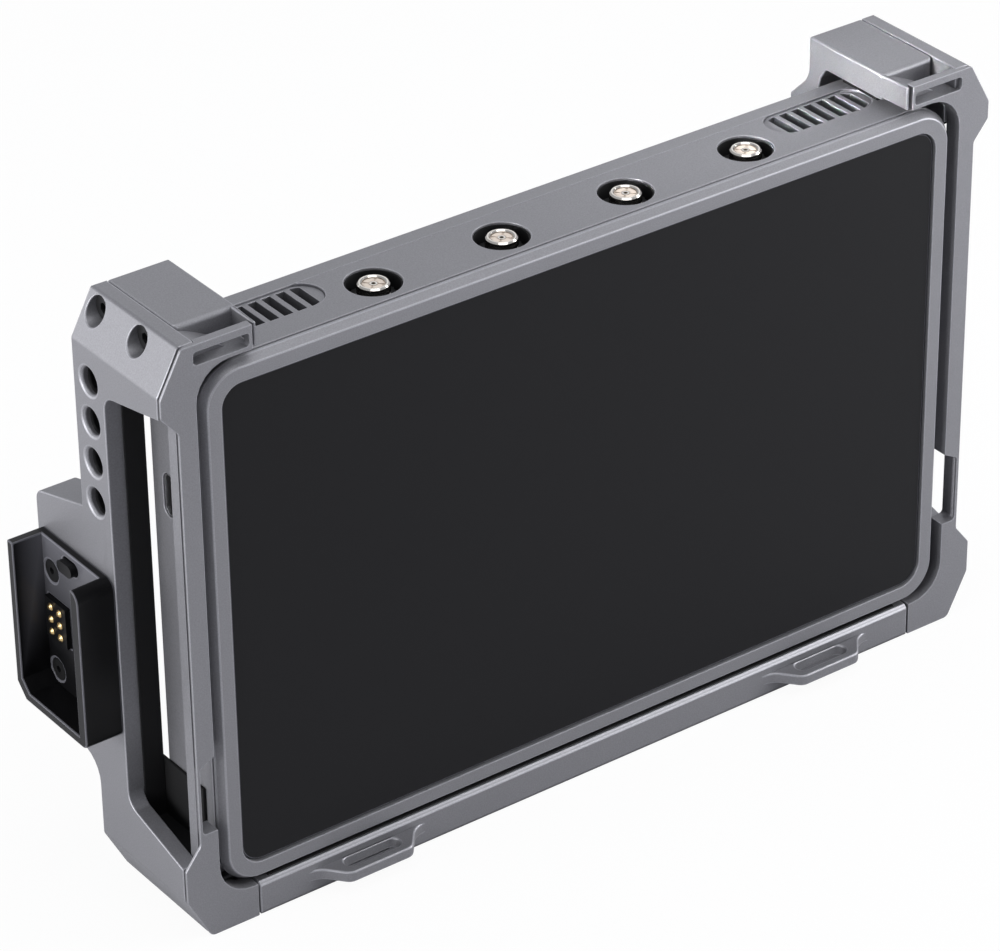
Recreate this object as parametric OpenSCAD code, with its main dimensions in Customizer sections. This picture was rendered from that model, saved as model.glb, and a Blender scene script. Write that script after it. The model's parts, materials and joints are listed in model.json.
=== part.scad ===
// Camera field monitor in a metal cage: a seven inch touch screen with four antenna jacks,
// held by an aluminium cage with threaded side posts, strap eyelets and a slide-in side dock.
// The part stands on its bottom bar. +Z is up, the screen looks along -Y, +X is to the right
// of someone in front of the screen. The origin is the mouth of the tripod thread in the
// middle of the bar's underside. Depths named d count backwards from the cage's front plane.

/* [Screen] */
// Width of the lit picture of the panel
active_w = 151.2; // [148:0.1:156]
// Height of the lit picture of the panel
active_h = 94.5; // [92:0.1:98]
// Black border of the cover glass left and right of the picture
border_w = 10.05; // [9:0.05:12]
// Black border of the cover glass above and below the picture
border_h = 6.1; // [5.6:0.05:8]
// Thickness of the cover glass
glass_t = 1.1; // [0.9:0.05:1.3]
// Corner radius of the cover glass
glass_r = 4.5; // [3:0.1:6]
// Gap between the cover glass and the metal rim round it
glass_gap = 0.25; // [0.15:0.05:0.35]
// Frame of the panel outside its picture
panel_edge = 3.6; // [3:0.1:4.5]
// Thickness of the panel
panel_t = 0.95; // [0.8:0.05:1]
// Thickness of the backlight behind the panel
backlight_t = 3.2; // [2.6:0.1:3.6]

/* [Monitor body] */
// Metal rim seen from the front between the glass and the edge of the body
rim_w = 4.55; // [4:0.05:6]
// Corner radius of the monitor's body
body_r = 8.4; // [7:0.1:10]
// How far the rim's front lies behind the cage's front plane
rim_set = 0.5; // [0.3:0.1:1]
// How far the glass lies behind the rim's front
glass_set = 0.7; // [0.4:0.05:0.9]
// Depth of the bezel ring
bezel_d = 2.9; // [2.7:0.1:3.4]
// Width of the slope round the front of the bezel ring
bezel_bevel = 1.2; // [0.6:0.1:1.8]
// Depth of the middle shell
shell_d = 15.7; // [15.4:0.1:20]
// Depth of the rear shell
rear_d = 6.3; // [6:0.1:8]
// Wall thickness of the shells
wall = 2; // [1.8:0.1:2.2]
// Gap of the parting line between the middle and the rear shell
parting = 0.15; // [0.1:0.05:0.25]
// How far the rear shell draws in at each side towards the back
side_draw = 4.2; // [3:0.1:5]

/* [Antenna jacks] */
// Distance between neighbouring antenna jacks
jack_pitch = 29.87; // [27:0.1:31]
// Depth of the jacks' row behind the cage's front plane
jack_d = 10.6; // [10.4:0.1:11]
// Radius of the round recess of each jack
recess_r = 5.6; // [5.4:0.05:6]
// Depth of the round recess of each jack
recess_depth = 4.2; // [3.6:0.1:4.3]
// Outside radius of a jack's thread
jack_r = 3.15; // [3:0.05:3.25]
// Radius of the white insulator in a jack
insulator_r = 2.25; // [2.1:0.05:2.4]
// Width across the flats of a jack's nut
nut_af = 8; // [7.6:0.1:8.4]
// Height of a jack's nut
nut_t = 1; // [0.8:0.1:1.4]

/* [Top vents] */
// Distance from the middle of the body to the inner end of each vent
vent_start = 54; // [53:0.1:56]
// Length of each vent
vent_l = 25.4; // [22:0.1:27]
// Width of each vent from front to back
vent_w = 9.3; // [8:0.1:10]
// Distance between neighbouring slats
slat_pitch = 3.15; // [2.8:0.05:4]
// Width of one slat
slat_w = 1.2; // [0.9:0.05:1.5]
// Depth of the slats below the top of the body
slat_set = 0.5; // [0.3:0.1:0.8]

/* [Cage] */
// Gap between the monitor's sides and the cage's posts
side_gap = 0.8; // [0.5:0.1:1.5]
// Thickness of the posts, from the monitor's side to the outside of the cage
post_w = 8.3; // [7.8:0.1:10]
// Height of the bottom bar
bar_h = 7.5; // [7:0.1:9]
// Thickness of the cushion strips between the bar and the monitor
pad_t = 0.4; // [0.3:0.05:0.8]
// Gap between the top of the monitor and the top clamps
top_gap = 1.6; // [1.2:0.1:2.2]
// Thickness of the top clamps over the monitor
clamp_t = 5.6; // [5.4:0.1:6.5]
// Gap between the back of the monitor and the clamps' rear legs
leg_gap = 2; // [1.4:0.1:2.4]
// Thickness of the clamps' rear legs
leg_t = 3; // [2.6:0.1:4]
// Length of each top clamp along the cage, inwards from the post
clamp_l = 13.7; // [12.6:0.1:16]
// Thickness of the wall of each side plate
plate_t = 3.6; // [3.2:0.1:4.2]
// Gap between the monitor and the opening of the front frames at the sides
frame_gap = 1.4; // [1:0.1:1.8]
// Corner radius of the opening of the front frames
frame_r = 7.5; // [6:0.1:8]
// Thickness of the front plate before the shadow groove
face_t = 0.65; // [0.5:0.05:0.9]
// Width of the shadow groove behind the front plate
groove_w = 0.5; // [0.3:0.05:0.7]
// Depth of the shadow groove
groove_depth = 0.8; // [0.5:0.1:1]
// Thickness of the front frames
frame_t = 4; // [3.6:0.1:4.6]
// Width of the seam between the side plates and the top clamps
clamp_seam = 0.2; // [0.1:0.05:0.4]
// Width of the seam between the bar and the front frames
bar_seam = 0.3; // [0.2:0.05:0.5]
// Width of each corner of the cage beside the bottom bar, inwards from the post
corner_w = 8.25; // [7.5:0.25:9]
// Play between pieces of the cage that are screwed face to face
fit_gap = 0.1; // [0.05:0.01:0.2]

/* [Side posts] */
// Radius of the accessory threads in the side posts
thread_r = 2.75; // [2.55:0.05:3.1]
// Distance between neighbouring accessory threads
thread_pitch = 8.73; // [8.2:0.01:9.2]
// Height of the topmost accessory thread
thread_top = 114.6; // [112:0.1:115.6]
// Radius of the deep counterbores for the clamp screws
clamp_bore_r = 2.75; // [2.7:0.05:2.9]
// Radius of a clamp screw's shank
clamp_screw_r = 1.5; // [1.3:0.05:1.6]

/* [Strap eyelets] */
// Distance of each eyelet from the middle of the bar
eyelet_x = 57.4; // [50:0.1:62]
// How far each eyelet stands out in front of the bar
eyelet_out = 5.3; // [5:0.1:7]
// Thickness of the eyelets
eyelet_t = 2.5; // [2:0.1:3.2]
// Height of the eyelets' underside above the base
eyelet_z = 2.7; // [1:0.1:3.4]
// Half length of the strap slot in each eyelet
slot_half = 6.5; // [5:0.1:7]
// Width of the strap slot in each eyelet
slot_w = 3.2; // [2.8:0.1:3.4]

/* [Side dock] */
// Depth of the dock's tray, outwards from the side plate
dock_out = 8.4; // [7:0.1:10]
// Width of the dock's tray from front to back
dock_w = 25.2; // [23:0.1:28]
// Height of the dock's tray
dock_h = 35.3; // [32:0.1:38]
// Height of the dock's underside above the base
dock_z = 38.1; // [36:0.1:44]
// Thickness of the dock's floor plate
dock_floor = 1.8; // [1.6:0.1:2.2]
// Thickness of the dock's back and bottom walls
dock_wall = 2; // [1.6:0.1:2.6]
// Thickness of the dock's front wall
dock_front = 2.6; // [2:0.1:3.2]
// Travel of the dock's catch
dock_catch_travel = 1.6; // [1:0.1:1.8]

/* [Battery plate] */
// Inside width between the rails of the battery plate
rail_w = 38.8; // [38.4:0.1:39.4]
// Height of the battery plate
plate_h = 66; // [62:0.5:70]
// Thickness of the battery plate's base
base_t = 3; // [2.8:0.1:3.4]
// Height of the rails above the base
rail_h = 2.6; // [2.2:0.1:3]
// Travel of the battery latch and of its release button
latch_travel = 2.2; // [1.6:0.1:2.4]

/* [Inside] */
// Thickness of the display chassis
chassis_t = 1.2; // [1:0.1:1.6]
// Thickness of the circuit boards
board_t = 1.2; // [1:0.1:1.4]
// Height of the posts that carry the main board
board_post = 2.7; // [2.5:0.1:3]
// Radius of the fan's rotor
rotor_r = 15.5; // [13:0.1:16]
// Running gap round the fan's rotor
rotor_gap = 0.8; // [0.5:0.1:1.4]
// Depth of the fan housing
fan_d = 6.2; // [6:0.1:6.4]
// Radius of the fan's shaft
shaft_r = 0.8; // [0.7:0.05:1]
// Running clearance of the fan's shaft in its bush
shaft_gap = 0.04; // [0.02:0.01:0.08]

/* [Power button] */
// Radius of the power button
button_r = 3.2; // [2.8:0.1:3.6]
// Travel of the power button
button_travel = 0.5; // [0.3:0.05:0.7]
// How far the power button stands out of the body's side
button_out = 0.65; // [0.5:0.05:0.75]
// Gap round the buttons and catches in their holes
key_gap = 0.2; // [0.12:0.02:0.3]

/* [Hidden] */
$fn = 48;

// Monitor, worked out from the screen
glass_w = active_w + 2 * border_w;
glass_h = active_h + 2 * border_h;
body_w = glass_w + 2 * rim_w;
body_h = glass_h + 2 * rim_w;
body_x = body_w / 2;
body_z0 = bar_h + pad_t;
mid_z = body_z0 + body_h / 2;
body_top = body_z0 + body_h;
glass_d = rim_set + glass_set;
panel_rise = 0.85;
panel_w = active_w + 2 * panel_edge;
panel_h = active_h + 2 * panel_edge;
panel_d = glass_d + glass_t + 0.05;
backlight_d = panel_d + panel_t + 0.05;
chassis_d = backlight_d + backlight_t + 0.05;
board_d = chassis_d + chassis_t + board_post;
bezel_back = rim_set + bezel_d;
shell_back = bezel_back + shell_d;
body_back = shell_back + rear_d;
inner_r = body_r - wall;

// Cage, worked out from the monitor
cage_d = body_back + leg_gap + leg_t;
post_in = body_x + side_gap;
cage_x = post_in + post_w;
bar_half = post_in - corner_w;
clamp_z = body_top + top_gap;
cage_h = clamp_z + clamp_t;
frame_in = body_x + frame_gap;
frame_top = clamp_z + 0.4;
plate_in = cage_x - plate_t;
clamp_in = post_in - clamp_l;
clamp_out = post_in - clamp_seam;
body_front = face_t + groove_w;
post_front = 20;
pocket_back = 7.7;
tongue_t = 1;
tongue_bend = 9.5;
tongue_lean = 0.5;
top_cut_x = 5;
top_cut_z = 9.1;
bottom_cut_x = 5.1;
bottom_cut_z = 9.8;

// Places of small parts
jack_x = [for (i = [0:3]) (i - 1.5) * jack_pitch];
vent_d = jack_d + 4.05;
usb_z = 92;
usb_d = 13.8;
hdmi_z = [70, 92];
phone_z = 52;
button_z = 107;
side_d = 13;
fan_x = -57;
fan_z = 91;
fan_front = board_d + board_t + 0.5;
fan_half = rotor_r + rotor_gap + 2.2;
boss_x = body_x - 7.4;
boss_z = body_h / 2 - 6;
plate_z = mid_z - plate_h / 2;
plate_x = rail_w / 2 + 2.6;
clamp_screw_z = clamp_z + clamp_t / 2 - 0.4;
clamp_screw_d = [12.3, cage_d - 3.9];
rear_screw_x = post_in - 7;
rear_screw_z = clamp_z - 12.1;
frame_screw_z = [12, cage_h - 9.8];
bar_screw_d = [11, 24];
bar_screw_x = bar_half + corner_w / 2;
bar_end_gap = 0.65;
monitor_screw_x = 32;
monitor_screw_d = 12.7;
jack_seat = 1.15;
undercut_t = 0.25;
undercut_h = 0.6;
dock_d = post_front + 0.2;
dock_top = dock_z + dock_h;
catch_d = dock_d + dock_w / 2 + 0.6;
catch_z = dock_top - 2.8;
catch_half = 2.6;
catch_r = 1.3;
contact_d = dock_d + dock_w - dock_wall - 4.8;
contact_z = dock_z + dock_h / 2;
contact_h = 1.5;

function at(d) = d - cage_d / 2;
function unit(v) = v / norm(v);
function flat(p) = [p[0], p[1]];

// Points of an arc of radius b[2] that rounds the corner b between a and c
function corner(a, b, c, steps) =
    let (
        u = unit(flat(a) - flat(b)),
        v = unit(flat(c) - flat(b)),
        half = acos(u * v) / 2,
        centre = flat(b) + unit(u + v) * b[2] / sin(half),
        first = flat(b) + u * b[2] / tan(half) - centre,
        last = flat(b) + v * b[2] / tan(half) - centre,
        start = atan2(first[1], first[0]),
        sweep = atan2(last[1], last[0]) - start,
        turn = sweep > 180 ? sweep - 360 : sweep < -180 ? sweep + 360 : sweep
    )
    [for (k = [0:steps]) centre + b[2] * [cos(start + turn * k / steps), sin(start + turn * k / steps)]];

// Outline whose points may carry a third value, the radius of their corner
function rounded(points, steps = 6) =
    let (n = len(points))
    [
        for (i = [0:n - 1])
            each (len(points[i]) > 2
                ? corner(points[(i + n - 1) % n], points[i], points[(i + 1) % n], steps)
                : [points[i]])
    ];

// Solid between two depths from an outline in X and Z
module deep(d0, d1) {
    translate([0, at(d1), 0])
        rotate([90, 0, 0])
            linear_extrude(d1 - d0)
                children();
}

// Solid between two places along X from an outline in Y and Z
module wide(x0, x1) {
    translate([x0, 0, 0])
        rotate([90, 0, 90])
            linear_extrude(x1 - x0)
                children();
}

// Solid between two heights from an outline in X and Y
module tall(z0, z1) {
    translate([0, 0, z0])
        linear_extrude(z1 - z0)
            children();
}

// Round bar along Y between two depths
module rod_y(x, z, r, d0, d1) {
    translate([x, at(d1), z])
        rotate([90, 0, 0])
            cylinder(r = r, h = d1 - d0);
}

// Round bar along X
module rod_x(d, z, r, x0, x1) {
    translate([x0, at(d), z])
        rotate([0, 90, 0])
            cylinder(r = r, h = x1 - x0);
}

// Block between two depths
module block(x0, x1, d0, d1, z0, z1) {
    translate([x0, at(d0), z0])
        cube([x1 - x0, d1 - d0, z1 - z0]);
}

// Rectangle with round corners, centred
module round_rect(w, h, r) {
    square([w - 2 * r, h], center = true);
    square([w, h - 2 * r], center = true);
    for (x = [-1, 1], y = [-1, 1])
        translate([x * (w / 2 - r), y * (h / 2 - r)])
            circle(r);
}

// Rectangle with round corners about the middle of the screen
module screen_rect(w, h, r) {
    translate([0, mid_z])
        round_rect(w, h, r);
}

// Slot with two round ends, lying along its first axis, centred
module slot(length, width) {
    square([length - width, width], center = true);
    for (x = [-1, 1])
        translate([x * (length - width) / 2, 0])
            circle(width / 2);
}

// Slab with round corners whose edge follows a list of depth and inset
module edged_slab(w, h, r, edge) {
    last = len(edge) - 1;
    for (x = [-1, 1], z = [-1, 1])
        translate([x * (w / 2 - r), 0, mid_z + z * (h / 2 - r)])
            rotate([-90, 0, 0])
                rotate_extrude()
                    polygon(concat(
                        [[0, at(edge[0][0])]],
                        [for (e = edge) [r - e[1], at(e[0])]],
                        [[0, at(edge[last][0])]]
                    ));
    wide(-(w / 2 - r), w / 2 - r)
        polygon(concat(
            [for (e = edge) [at(e[0]), mid_z + h / 2 - e[1]]],
            [for (i = [last:-1:0]) [at(edge[i][0]), mid_z - h / 2 + edge[i][1]]]
        ));
    tall(mid_z - (h / 2 - r), mid_z + h / 2 - r)
        polygon(concat(
            [for (e = edge) [w / 2 - e[1], at(e[0])]],
            [for (i = [last:-1:0]) [-w / 2 + edge[i][1], at(edge[i][0])]]
        ));
}

// Screw with a flat or domed head, pointing along +Z from its head's top at the origin
module screw(head_r, head_h, shank_r, length, socket_r) {
    difference() {
        union() {
            cylinder(r = head_r, h = head_h);
            cylinder(r = shank_r, h = length);
        }
        translate([0, 0, -1])
            cylinder(r = socket_r, h = 1 + head_h * 0.6, $fn = 6);
    }
}

// Countersunk screw, pointing along +Z from the flat of its head at the origin
module sunk_screw(head_r, shank_r, length, socket_r) {
    difference() {
        union() {
            cylinder(r1 = head_r, r2 = shank_r, h = head_r - shank_r);
            cylinder(r = shank_r, h = length);
        }
        translate([0, 0, -1])
            cylinder(r = socket_r, h = 1 + (head_r - shank_r) * 0.6, $fn = 6);
    }
}

// Ring of metal round the glass
module front_bezel() {
    color("#8b8b92")
        difference() {
            edged_slab(body_w, body_h, body_r, [
                [rim_set, bezel_bevel],
                [rim_set + 1.3, 0.35],
                [rim_set + 1.8, 0],
                [bezel_back - 0.5, 0],
                [bezel_back - 0.2, 0.3],
                [bezel_back, 0.3]
            ]);
            deep(rim_set - 1, glass_d + glass_t)
                screen_rect(glass_w + 2 * glass_gap, glass_h + 2 * glass_gap, glass_r + glass_gap);
            deep(glass_d, bezel_back + 1)
                translate([0, panel_rise])
                    screen_rect(panel_w + 0.8, panel_h + 0.8, 1);
            block(-13, 13, glass_d + glass_t, bezel_back + 1, body_z0 + wall, mid_z);
        }
}

module cover_glass() {
    color("#1d1d1f")
        deep(glass_d, glass_d + glass_t)
            screen_rect(glass_w, glass_h, glass_r);
}

module lcd_panel() {
    color("#101012")
        deep(panel_d, panel_d + panel_t)
            translate([0, panel_rise])
                screen_rect(panel_w, panel_h, 0.6);
}

module backlight_unit() {
    color("#d9dadc")
        deep(backlight_d, backlight_d + backlight_t)
            translate([0, panel_rise])
                screen_rect(panel_w + 0.6, panel_h + 0.6, 0.8);
}

// Places of the posts on the chassis that carry the main board
board_posts = [for (p = [[-60, -30], [0, -30], [60, -30], [-32, 27], [14, 27], [60, 27]]) p + [0, mid_z]];

// Places of the posts that carry the radio board
rf_posts = [for (x = [-40, 40]) [x, body_top - 22]];
rf_d = jack_d - 0.4 - board_t;

module display_chassis() {
    color("#8f9296")
        difference() {
            union() {
                deep(chassis_d, chassis_d + chassis_t)
                    difference() {
                        screen_rect(body_w - 2 * wall - 0.6, body_h - 2 * wall - 0.6, inner_r - 0.3);
                        for (x = [-1, 1], z = [-1, 1])
                            translate([x * boss_x, mid_z + z * boss_z])
                                square([15, 15], center = true);
                        translate([0, body_z0])
                            square([34, 2 * wall + 5], center = true);
                        for (x = jack_x)
                            translate([x, body_top])
                                square([2 * recess_r + 3.4, 21], center = true);
                        for (x = [-1, 1])
                            translate([x * monitor_screw_x, body_z0])
                                square([12.6, 18], center = true);
                    }
                for (p = board_posts)
                    rod_y(p[0], p[1], 2.4, chassis_d, board_d);
                for (p = rf_posts)
                    rod_y(p[0], p[1], 2.2, chassis_d, rf_d);
            }
            for (p = board_posts)
                rod_y(p[0], p[1], 0.8, chassis_d - 1, board_d + 1);
        }
}

// Cut of one antenna jack: the round recess and the hole for its neck
module jack_cut(x) {
    translate([x, at(jack_d), body_top - recess_depth])
        cylinder(r = recess_r, h = recess_depth + 1);
    translate([x, at(jack_d), body_top - 12])
        cylinder(r = jack_r + 0.1, h = 12);
}

// Outline of one top vent in X and Y, on the right side
module vent_outline(grow) {
    translate([vent_start + vent_l / 2, at(vent_d)])
        slot(vent_l + 2 * grow, vent_w + 2 * grow);
}

module body_shell() {
    color("#85858c")
        difference() {
            union() {
                difference() {
                    deep(bezel_back, shell_back)
                        screen_rect(body_w, body_h, body_r);
                    deep(bezel_back - 1, shell_back + 1)
                        screen_rect(body_w - 2 * wall, body_h - 2 * wall, inner_r);
                }
                for (x = jack_x)
                    translate([x, at(jack_d), body_top - recess_depth - jack_seat])
                        cylinder(r = recess_r + 1.2, h = recess_depth + jack_seat - 0.8);
                for (x = [-1, 1], z = [-1, 1])
                    shell_boss(x, z);
                for (x = [-1, 1])
                    translate([x * monitor_screw_x, at(monitor_screw_d), body_z0 + 0.5])
                        cylinder(r = 5.6, h = 8);
            }
            for (x = jack_x)
                jack_cut(x);
            for (x = [0, 1])
                mirror([x, 0, 0])
                    tall(body_top - wall - 1, body_top + 1)
                        vent_outline(0);
            for (x = [-1, 1], z = [-1, 1])
                rod_y(x * boss_x, mid_z + z * boss_z, 1, shell_back - 8, shell_back + 1);
            for (x = [-1, 1])
                translate([x * monitor_screw_x, at(monitor_screw_d), body_z0 - 1])
                    cylinder(r = 4.2, h = 8);
            port_cuts();
        }
}

// Corner boss of the middle shell with its web to the walls
module shell_boss(x, z) {
    rod_y(x * boss_x, mid_z + z * boss_z, 3, chassis_d, shell_back);
    deep(chassis_d, shell_back)
        translate([x * (boss_x + 2.8), mid_z + z * (boss_z + 2.8)])
            square([5.6, 5.6], center = true);
}

// Openings in the sides of the middle shell
module port_cuts() {
    wide(-body_x - 1, -body_x + wall + 0.6)
        translate([at(usb_d), usb_z])
            rotate(90)
                slot(9.3, 3.6);
    for (z = hdmi_z)
        wide(body_x - wall - 0.6, body_x + 1)
            translate([at(side_d), z])
                square([5.2, 15], center = true);
    rod_x(side_d, phone_z, 3, body_x - wall - 0.6, body_x + 1);
    rod_x(side_d, button_z, button_r + key_gap, body_x - wall - 0.6, body_x + 1);
}

// Slots of the fan's inlet in the rear shell
module inlet_slots() {
    for (i = [-4:4])
        let (half = sqrt(pow(12.5, 2) - pow(i * 2.9, 2)))
            translate([fan_x, fan_z + i * 2.9])
                slot(2 * half, 1.5);
}

module rear_shell() {
    color("#7f7f86")
        difference() {
            intersection() {
                edged_slab(body_w, body_h, body_r, [
                    [shell_back + parting, 0.1],
                    [body_back - 2.2, 0.5],
                    [body_back - 0.8, 1.3],
                    [body_back, 2.8]
                ]);
                tall(0, cage_h)
                    polygon([
                        [-body_x + 0.2, at(shell_back)],
                        [body_x - 0.2, at(shell_back)],
                        [body_x - side_draw, at(body_back + 0.01)],
                        [-body_x + side_draw, at(body_back + 0.01)]
                    ]);
            }
            difference() {
                deep(shell_back - 1, body_back - wall)
                    screen_rect(body_w - 2 * side_draw - 2.4, body_h - 2 * wall - 5, inner_r);
                for (x = [-1, 1], z = [-1, 1])
                    rod_y(x * boss_x, mid_z + z * boss_z, 4.6, shell_back - 2, body_back);
                for (x = [-1, 1])
                    rod_y(x * rear_screw_x, rear_screw_z, 3.4, shell_back - 2, body_back);
                for (p = plate_holes)
                    rod_y(p[0], p[1], 2.4, shell_back - 2, body_back);
            }
            deep(body_back - wall - 1, body_back + 1)
                inlet_slots();
            for (x = [-1, 1], z = [-1, 1]) {
                rod_y(x * boss_x, mid_z + z * boss_z, 1.3, shell_back - 1, body_back + 1);
                rod_y(x * boss_x, mid_z + z * boss_z, 2.5, body_back - 2, body_back + 1);
            }
            for (x = [-1, 1])
                rod_y(x * rear_screw_x, rear_screw_z, clamp_screw_r - 0.05, body_back - 5, body_back + 1);
            for (p = plate_holes)
                rod_y(p[0], p[1], 0.95, body_back - 4, body_back + 1);
            block(-4.4, 4.4, body_back - 4.2, body_back + 1, latch_z - 2.4, latch_z + 2.4);
        }
}

// Slatted insert of one top vent, on the right side
module vent_grille() {
    difference() {
        tall(body_top - wall - 1.2, body_top - slat_set)
            vent_outline(-0.08);
        intersection() {
            tall(body_top - wall - 2, body_top + 1)
                for (i = [0:floor((vent_l - 1.6) / slat_pitch) - 1])
                    translate([vent_start + 2 + (i + 0.5) * slat_pitch, at(vent_d)])
                        square([slat_pitch - slat_w, vent_w + 1], center = true);
            tall(body_top - wall - 2, body_top + 1)
                vent_outline(-0.7);
        }
    }
}

module left_vent_grille() {
    color("#8a8a90")
        mirror([1, 0, 0])
            vent_grille();
}

module right_vent_grille() {
    color("#8a8a90")
        vent_grille();
}

// Threaded antenna jack, held from below by its square flange
module antenna_jack(i) {
    seat_z = body_top - recess_depth - jack_seat - 0.05;
    nut_top = body_top - recess_depth + nut_t + 0.6;
    color("#c9c7c0")
        translate([jack_x[i], at(jack_d), 0])
            difference() {
                union() {
                    rotate_extrude()
                        polygon([
                            [0, seat_z - 2.2],
                            [jack_r, seat_z - 2.2],
                            [jack_r, nut_top],
                            [jack_r - undercut_t, nut_top],
                            [jack_r - undercut_t, nut_top + undercut_h],
                            [jack_r, nut_top + undercut_h],
                            [jack_r, body_top - 0.3],
                            [jack_r - 0.3, body_top],
                            [0, body_top]
                        ]);
                    translate([-3.6, -3.6, seat_z - 1.6])
                        cube([7.2, 7.2, 1.6]);
                }
                translate([0, 0, seat_z - 3])
                    cylinder(r = insulator_r + 0.02, h = 20);
                translate([0, 0, body_top - 0.25])
                    cylinder(r1 = insulator_r, r2 = insulator_r + 0.3, h = 0.26);
            }
}

module antenna_jack_1() antenna_jack(0);
module antenna_jack_2() antenna_jack(1);
module antenna_jack_3() antenna_jack(2);
module antenna_jack_4() antenna_jack(3);

module jack_insulators() {
    low = recess_depth + jack_seat + 2;
    color("#e9e3cf")
        for (x = jack_x)
            translate([x, at(jack_d), body_top - low])
                difference() {
                    cylinder(r = insulator_r, h = low - 0.6);
                    translate([0, 0, -1])
                        cylinder(r = 0.66, h = low + 2);
                }
}

module jack_contacts() {
    low = recess_depth + 7;
    color("#c9a24b")
        for (x = jack_x)
            translate([x, at(jack_d), body_top - low])
                difference() {
                    union() {
                        cylinder(r = 0.4, h = 5);
                        translate([0, 0, 4.4])
                            cylinder(r = 0.64, h = low - 5.2);
                    }
                    translate([0, 0, low - 3])
                        cylinder(r = 0.35, h = 4);
                }
}

// Black flanged nuts that hold the jacks against the floor of their recesses
module jack_nuts() {
    color("#1b1b1d")
        for (x = jack_x)
            translate([x, at(jack_d), body_top - recess_depth + 0.02])
                difference() {
                    union() {
                        cylinder(r = recess_r - 0.15, h = 0.5);
                        cylinder(r = nut_af / sqrt(3), h = 0.5 + nut_t, $fn = 6);
                    }
                    translate([0, 0, -1])
                        cylinder(r = jack_r + 0.03, h = nut_t + 3);
                }
}

// Radio board with its shield cans, carried on the chassis under the jacks
module rf_module() {
    rf_top = body_top - recess_depth - 4.5;
    color("#2f5d46")
        union() {
            block(-52, 52, rf_d, rf_d + board_t, rf_top - 15, rf_top);
            for (x = [-30, 0, 30])
                block(x - 10, x + 10, rf_d + board_t - 0.1, rf_d + board_t + 1.5,
                    rf_top - 13.5, rf_top - 4.5);
        }
}

module main_board() {
    color("#24523c")
        difference() {
            union() {
                block(-66, 66, board_d, board_d + board_t, mid_z - 36, mid_z + 31);
                block(8, 30, board_d + board_t - 0.1, board_d + board_t + 1.6, mid_z - 11, mid_z + 11);
                for (x = [-20, 36, 48])
                    block(x, x + 9, board_d + board_t - 0.1, board_d + board_t + 1.1, mid_z + 14, mid_z + 25);
                for (z = [-24, -8])
                    block(-34, -24, board_d + board_t - 0.1, board_d + board_t + 1.1,
                        mid_z + z, mid_z + z + 12);
            }
            for (p = board_posts)
                rod_y(p[0], p[1], 1.1, board_d - 1, board_d + board_t + 1);
        }
}

// Finned block on the main chip
module heat_sink() {
    sink_d = board_d + board_t + 1.65;
    color("#5d6066")
        union() {
            block(-2, 40, sink_d, sink_d + 1.3, mid_z - 21, mid_z + 12);
            for (i = [0:10])
                block(-2 + i * 4, -0.8 + i * 4, sink_d + 1.2, body_back - wall - 0.4, mid_z - 21, mid_z + 12);
        }
}

// Round well of the blower and its outlet towards the left vent
module fan_well() {
    translate([fan_x, fan_z])
        circle(rotor_r + rotor_gap);
    translate([fan_x - rotor_r - rotor_gap, fan_z])
        square([rotor_r - 1, body_top - fan_z - wall - 4]);
}

module fan_housing() {
    color("#232427")
        difference() {
            union() {
                deep(fan_front, fan_front + fan_d)
                    translate([fan_x, fan_z])
                        round_rect(2 * fan_half, 2 * fan_half, 2.5);
                deep(fan_front, fan_front + fan_d)
                    translate([fan_x - fan_half, fan_z])
                        square([rotor_r + 3, body_top - fan_z - wall - 4]);
            }
            deep(fan_front + 1, fan_front + fan_d + 1)
                fan_well();
            for (p = fan_holes)
                rod_y(p[0], p[1], 0.8, fan_front - 1, fan_front + fan_d + 1);
        }
}

// Places of the screws that hold the fan's cover
fan_holes = [for (x = [1], z = [-1, 1]) [fan_x + x * (fan_half - 2.4), fan_z + z * (fan_half - 2.4)]];

module fan_cover() {
    color("#2c2d31")
        deep(fan_front + fan_d + 0.02, fan_front + fan_d + 0.72)
            difference() {
                union() {
                    translate([fan_x, fan_z])
                        round_rect(2 * fan_half, 2 * fan_half, 2.5);
                    translate([fan_x - fan_half, fan_z])
                        square([rotor_r + 3, body_top - fan_z - wall - 4]);
                }
                translate([fan_x, fan_z])
                    circle(rotor_r - 3.5);
                for (p = fan_holes)
                    translate(p)
                        circle(0.9);
            }
}

// Fixed coil block of the fan's motor, with the bush for the shaft
module fan_stator() {
    color("#8a4b2a")
        difference() {
            union() {
                rod_y(fan_x, fan_z, 6.4, fan_front + 1.02, fan_front + 3.4);
                rod_y(fan_x, fan_z, 2, fan_front + 1.02, fan_front + 4.4);
            }
            rod_y(fan_x, fan_z, shaft_r + shaft_gap, fan_front + 1.3, fan_front + 6);
        }
}

// Blower wheel: a cup over the coil block, with curved blades round it and its shaft
module fan_rotor() {
    color("#3a3c40")
        union() {
            difference() {
                rod_y(fan_x, fan_z, 8.2, fan_front + 1.6, fan_front + 5.6);
                rod_y(fan_x, fan_z, 7.2, fan_front + 0.6, fan_front + 4.9);
            }
            rod_y(fan_x, fan_z, shaft_r, fan_front + 1.5, fan_front + 5.2);
            deep(fan_front + 1.6, fan_front + 5.2)
                translate([fan_x, fan_z])
                    for (i = [0:18])
                        rotate(i * 360 / 19)
                            translate([7.8, 0])
                                rotate(24)
                                    square([rotor_r - 9, 0.7]);
            difference() {
                rod_y(fan_x, fan_z, rotor_r - 0.2, fan_front + 1.6, fan_front + 2.2);
                rod_y(fan_x, fan_z, 8, fan_front + 1, fan_front + 3);
            }
        }
}

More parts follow.
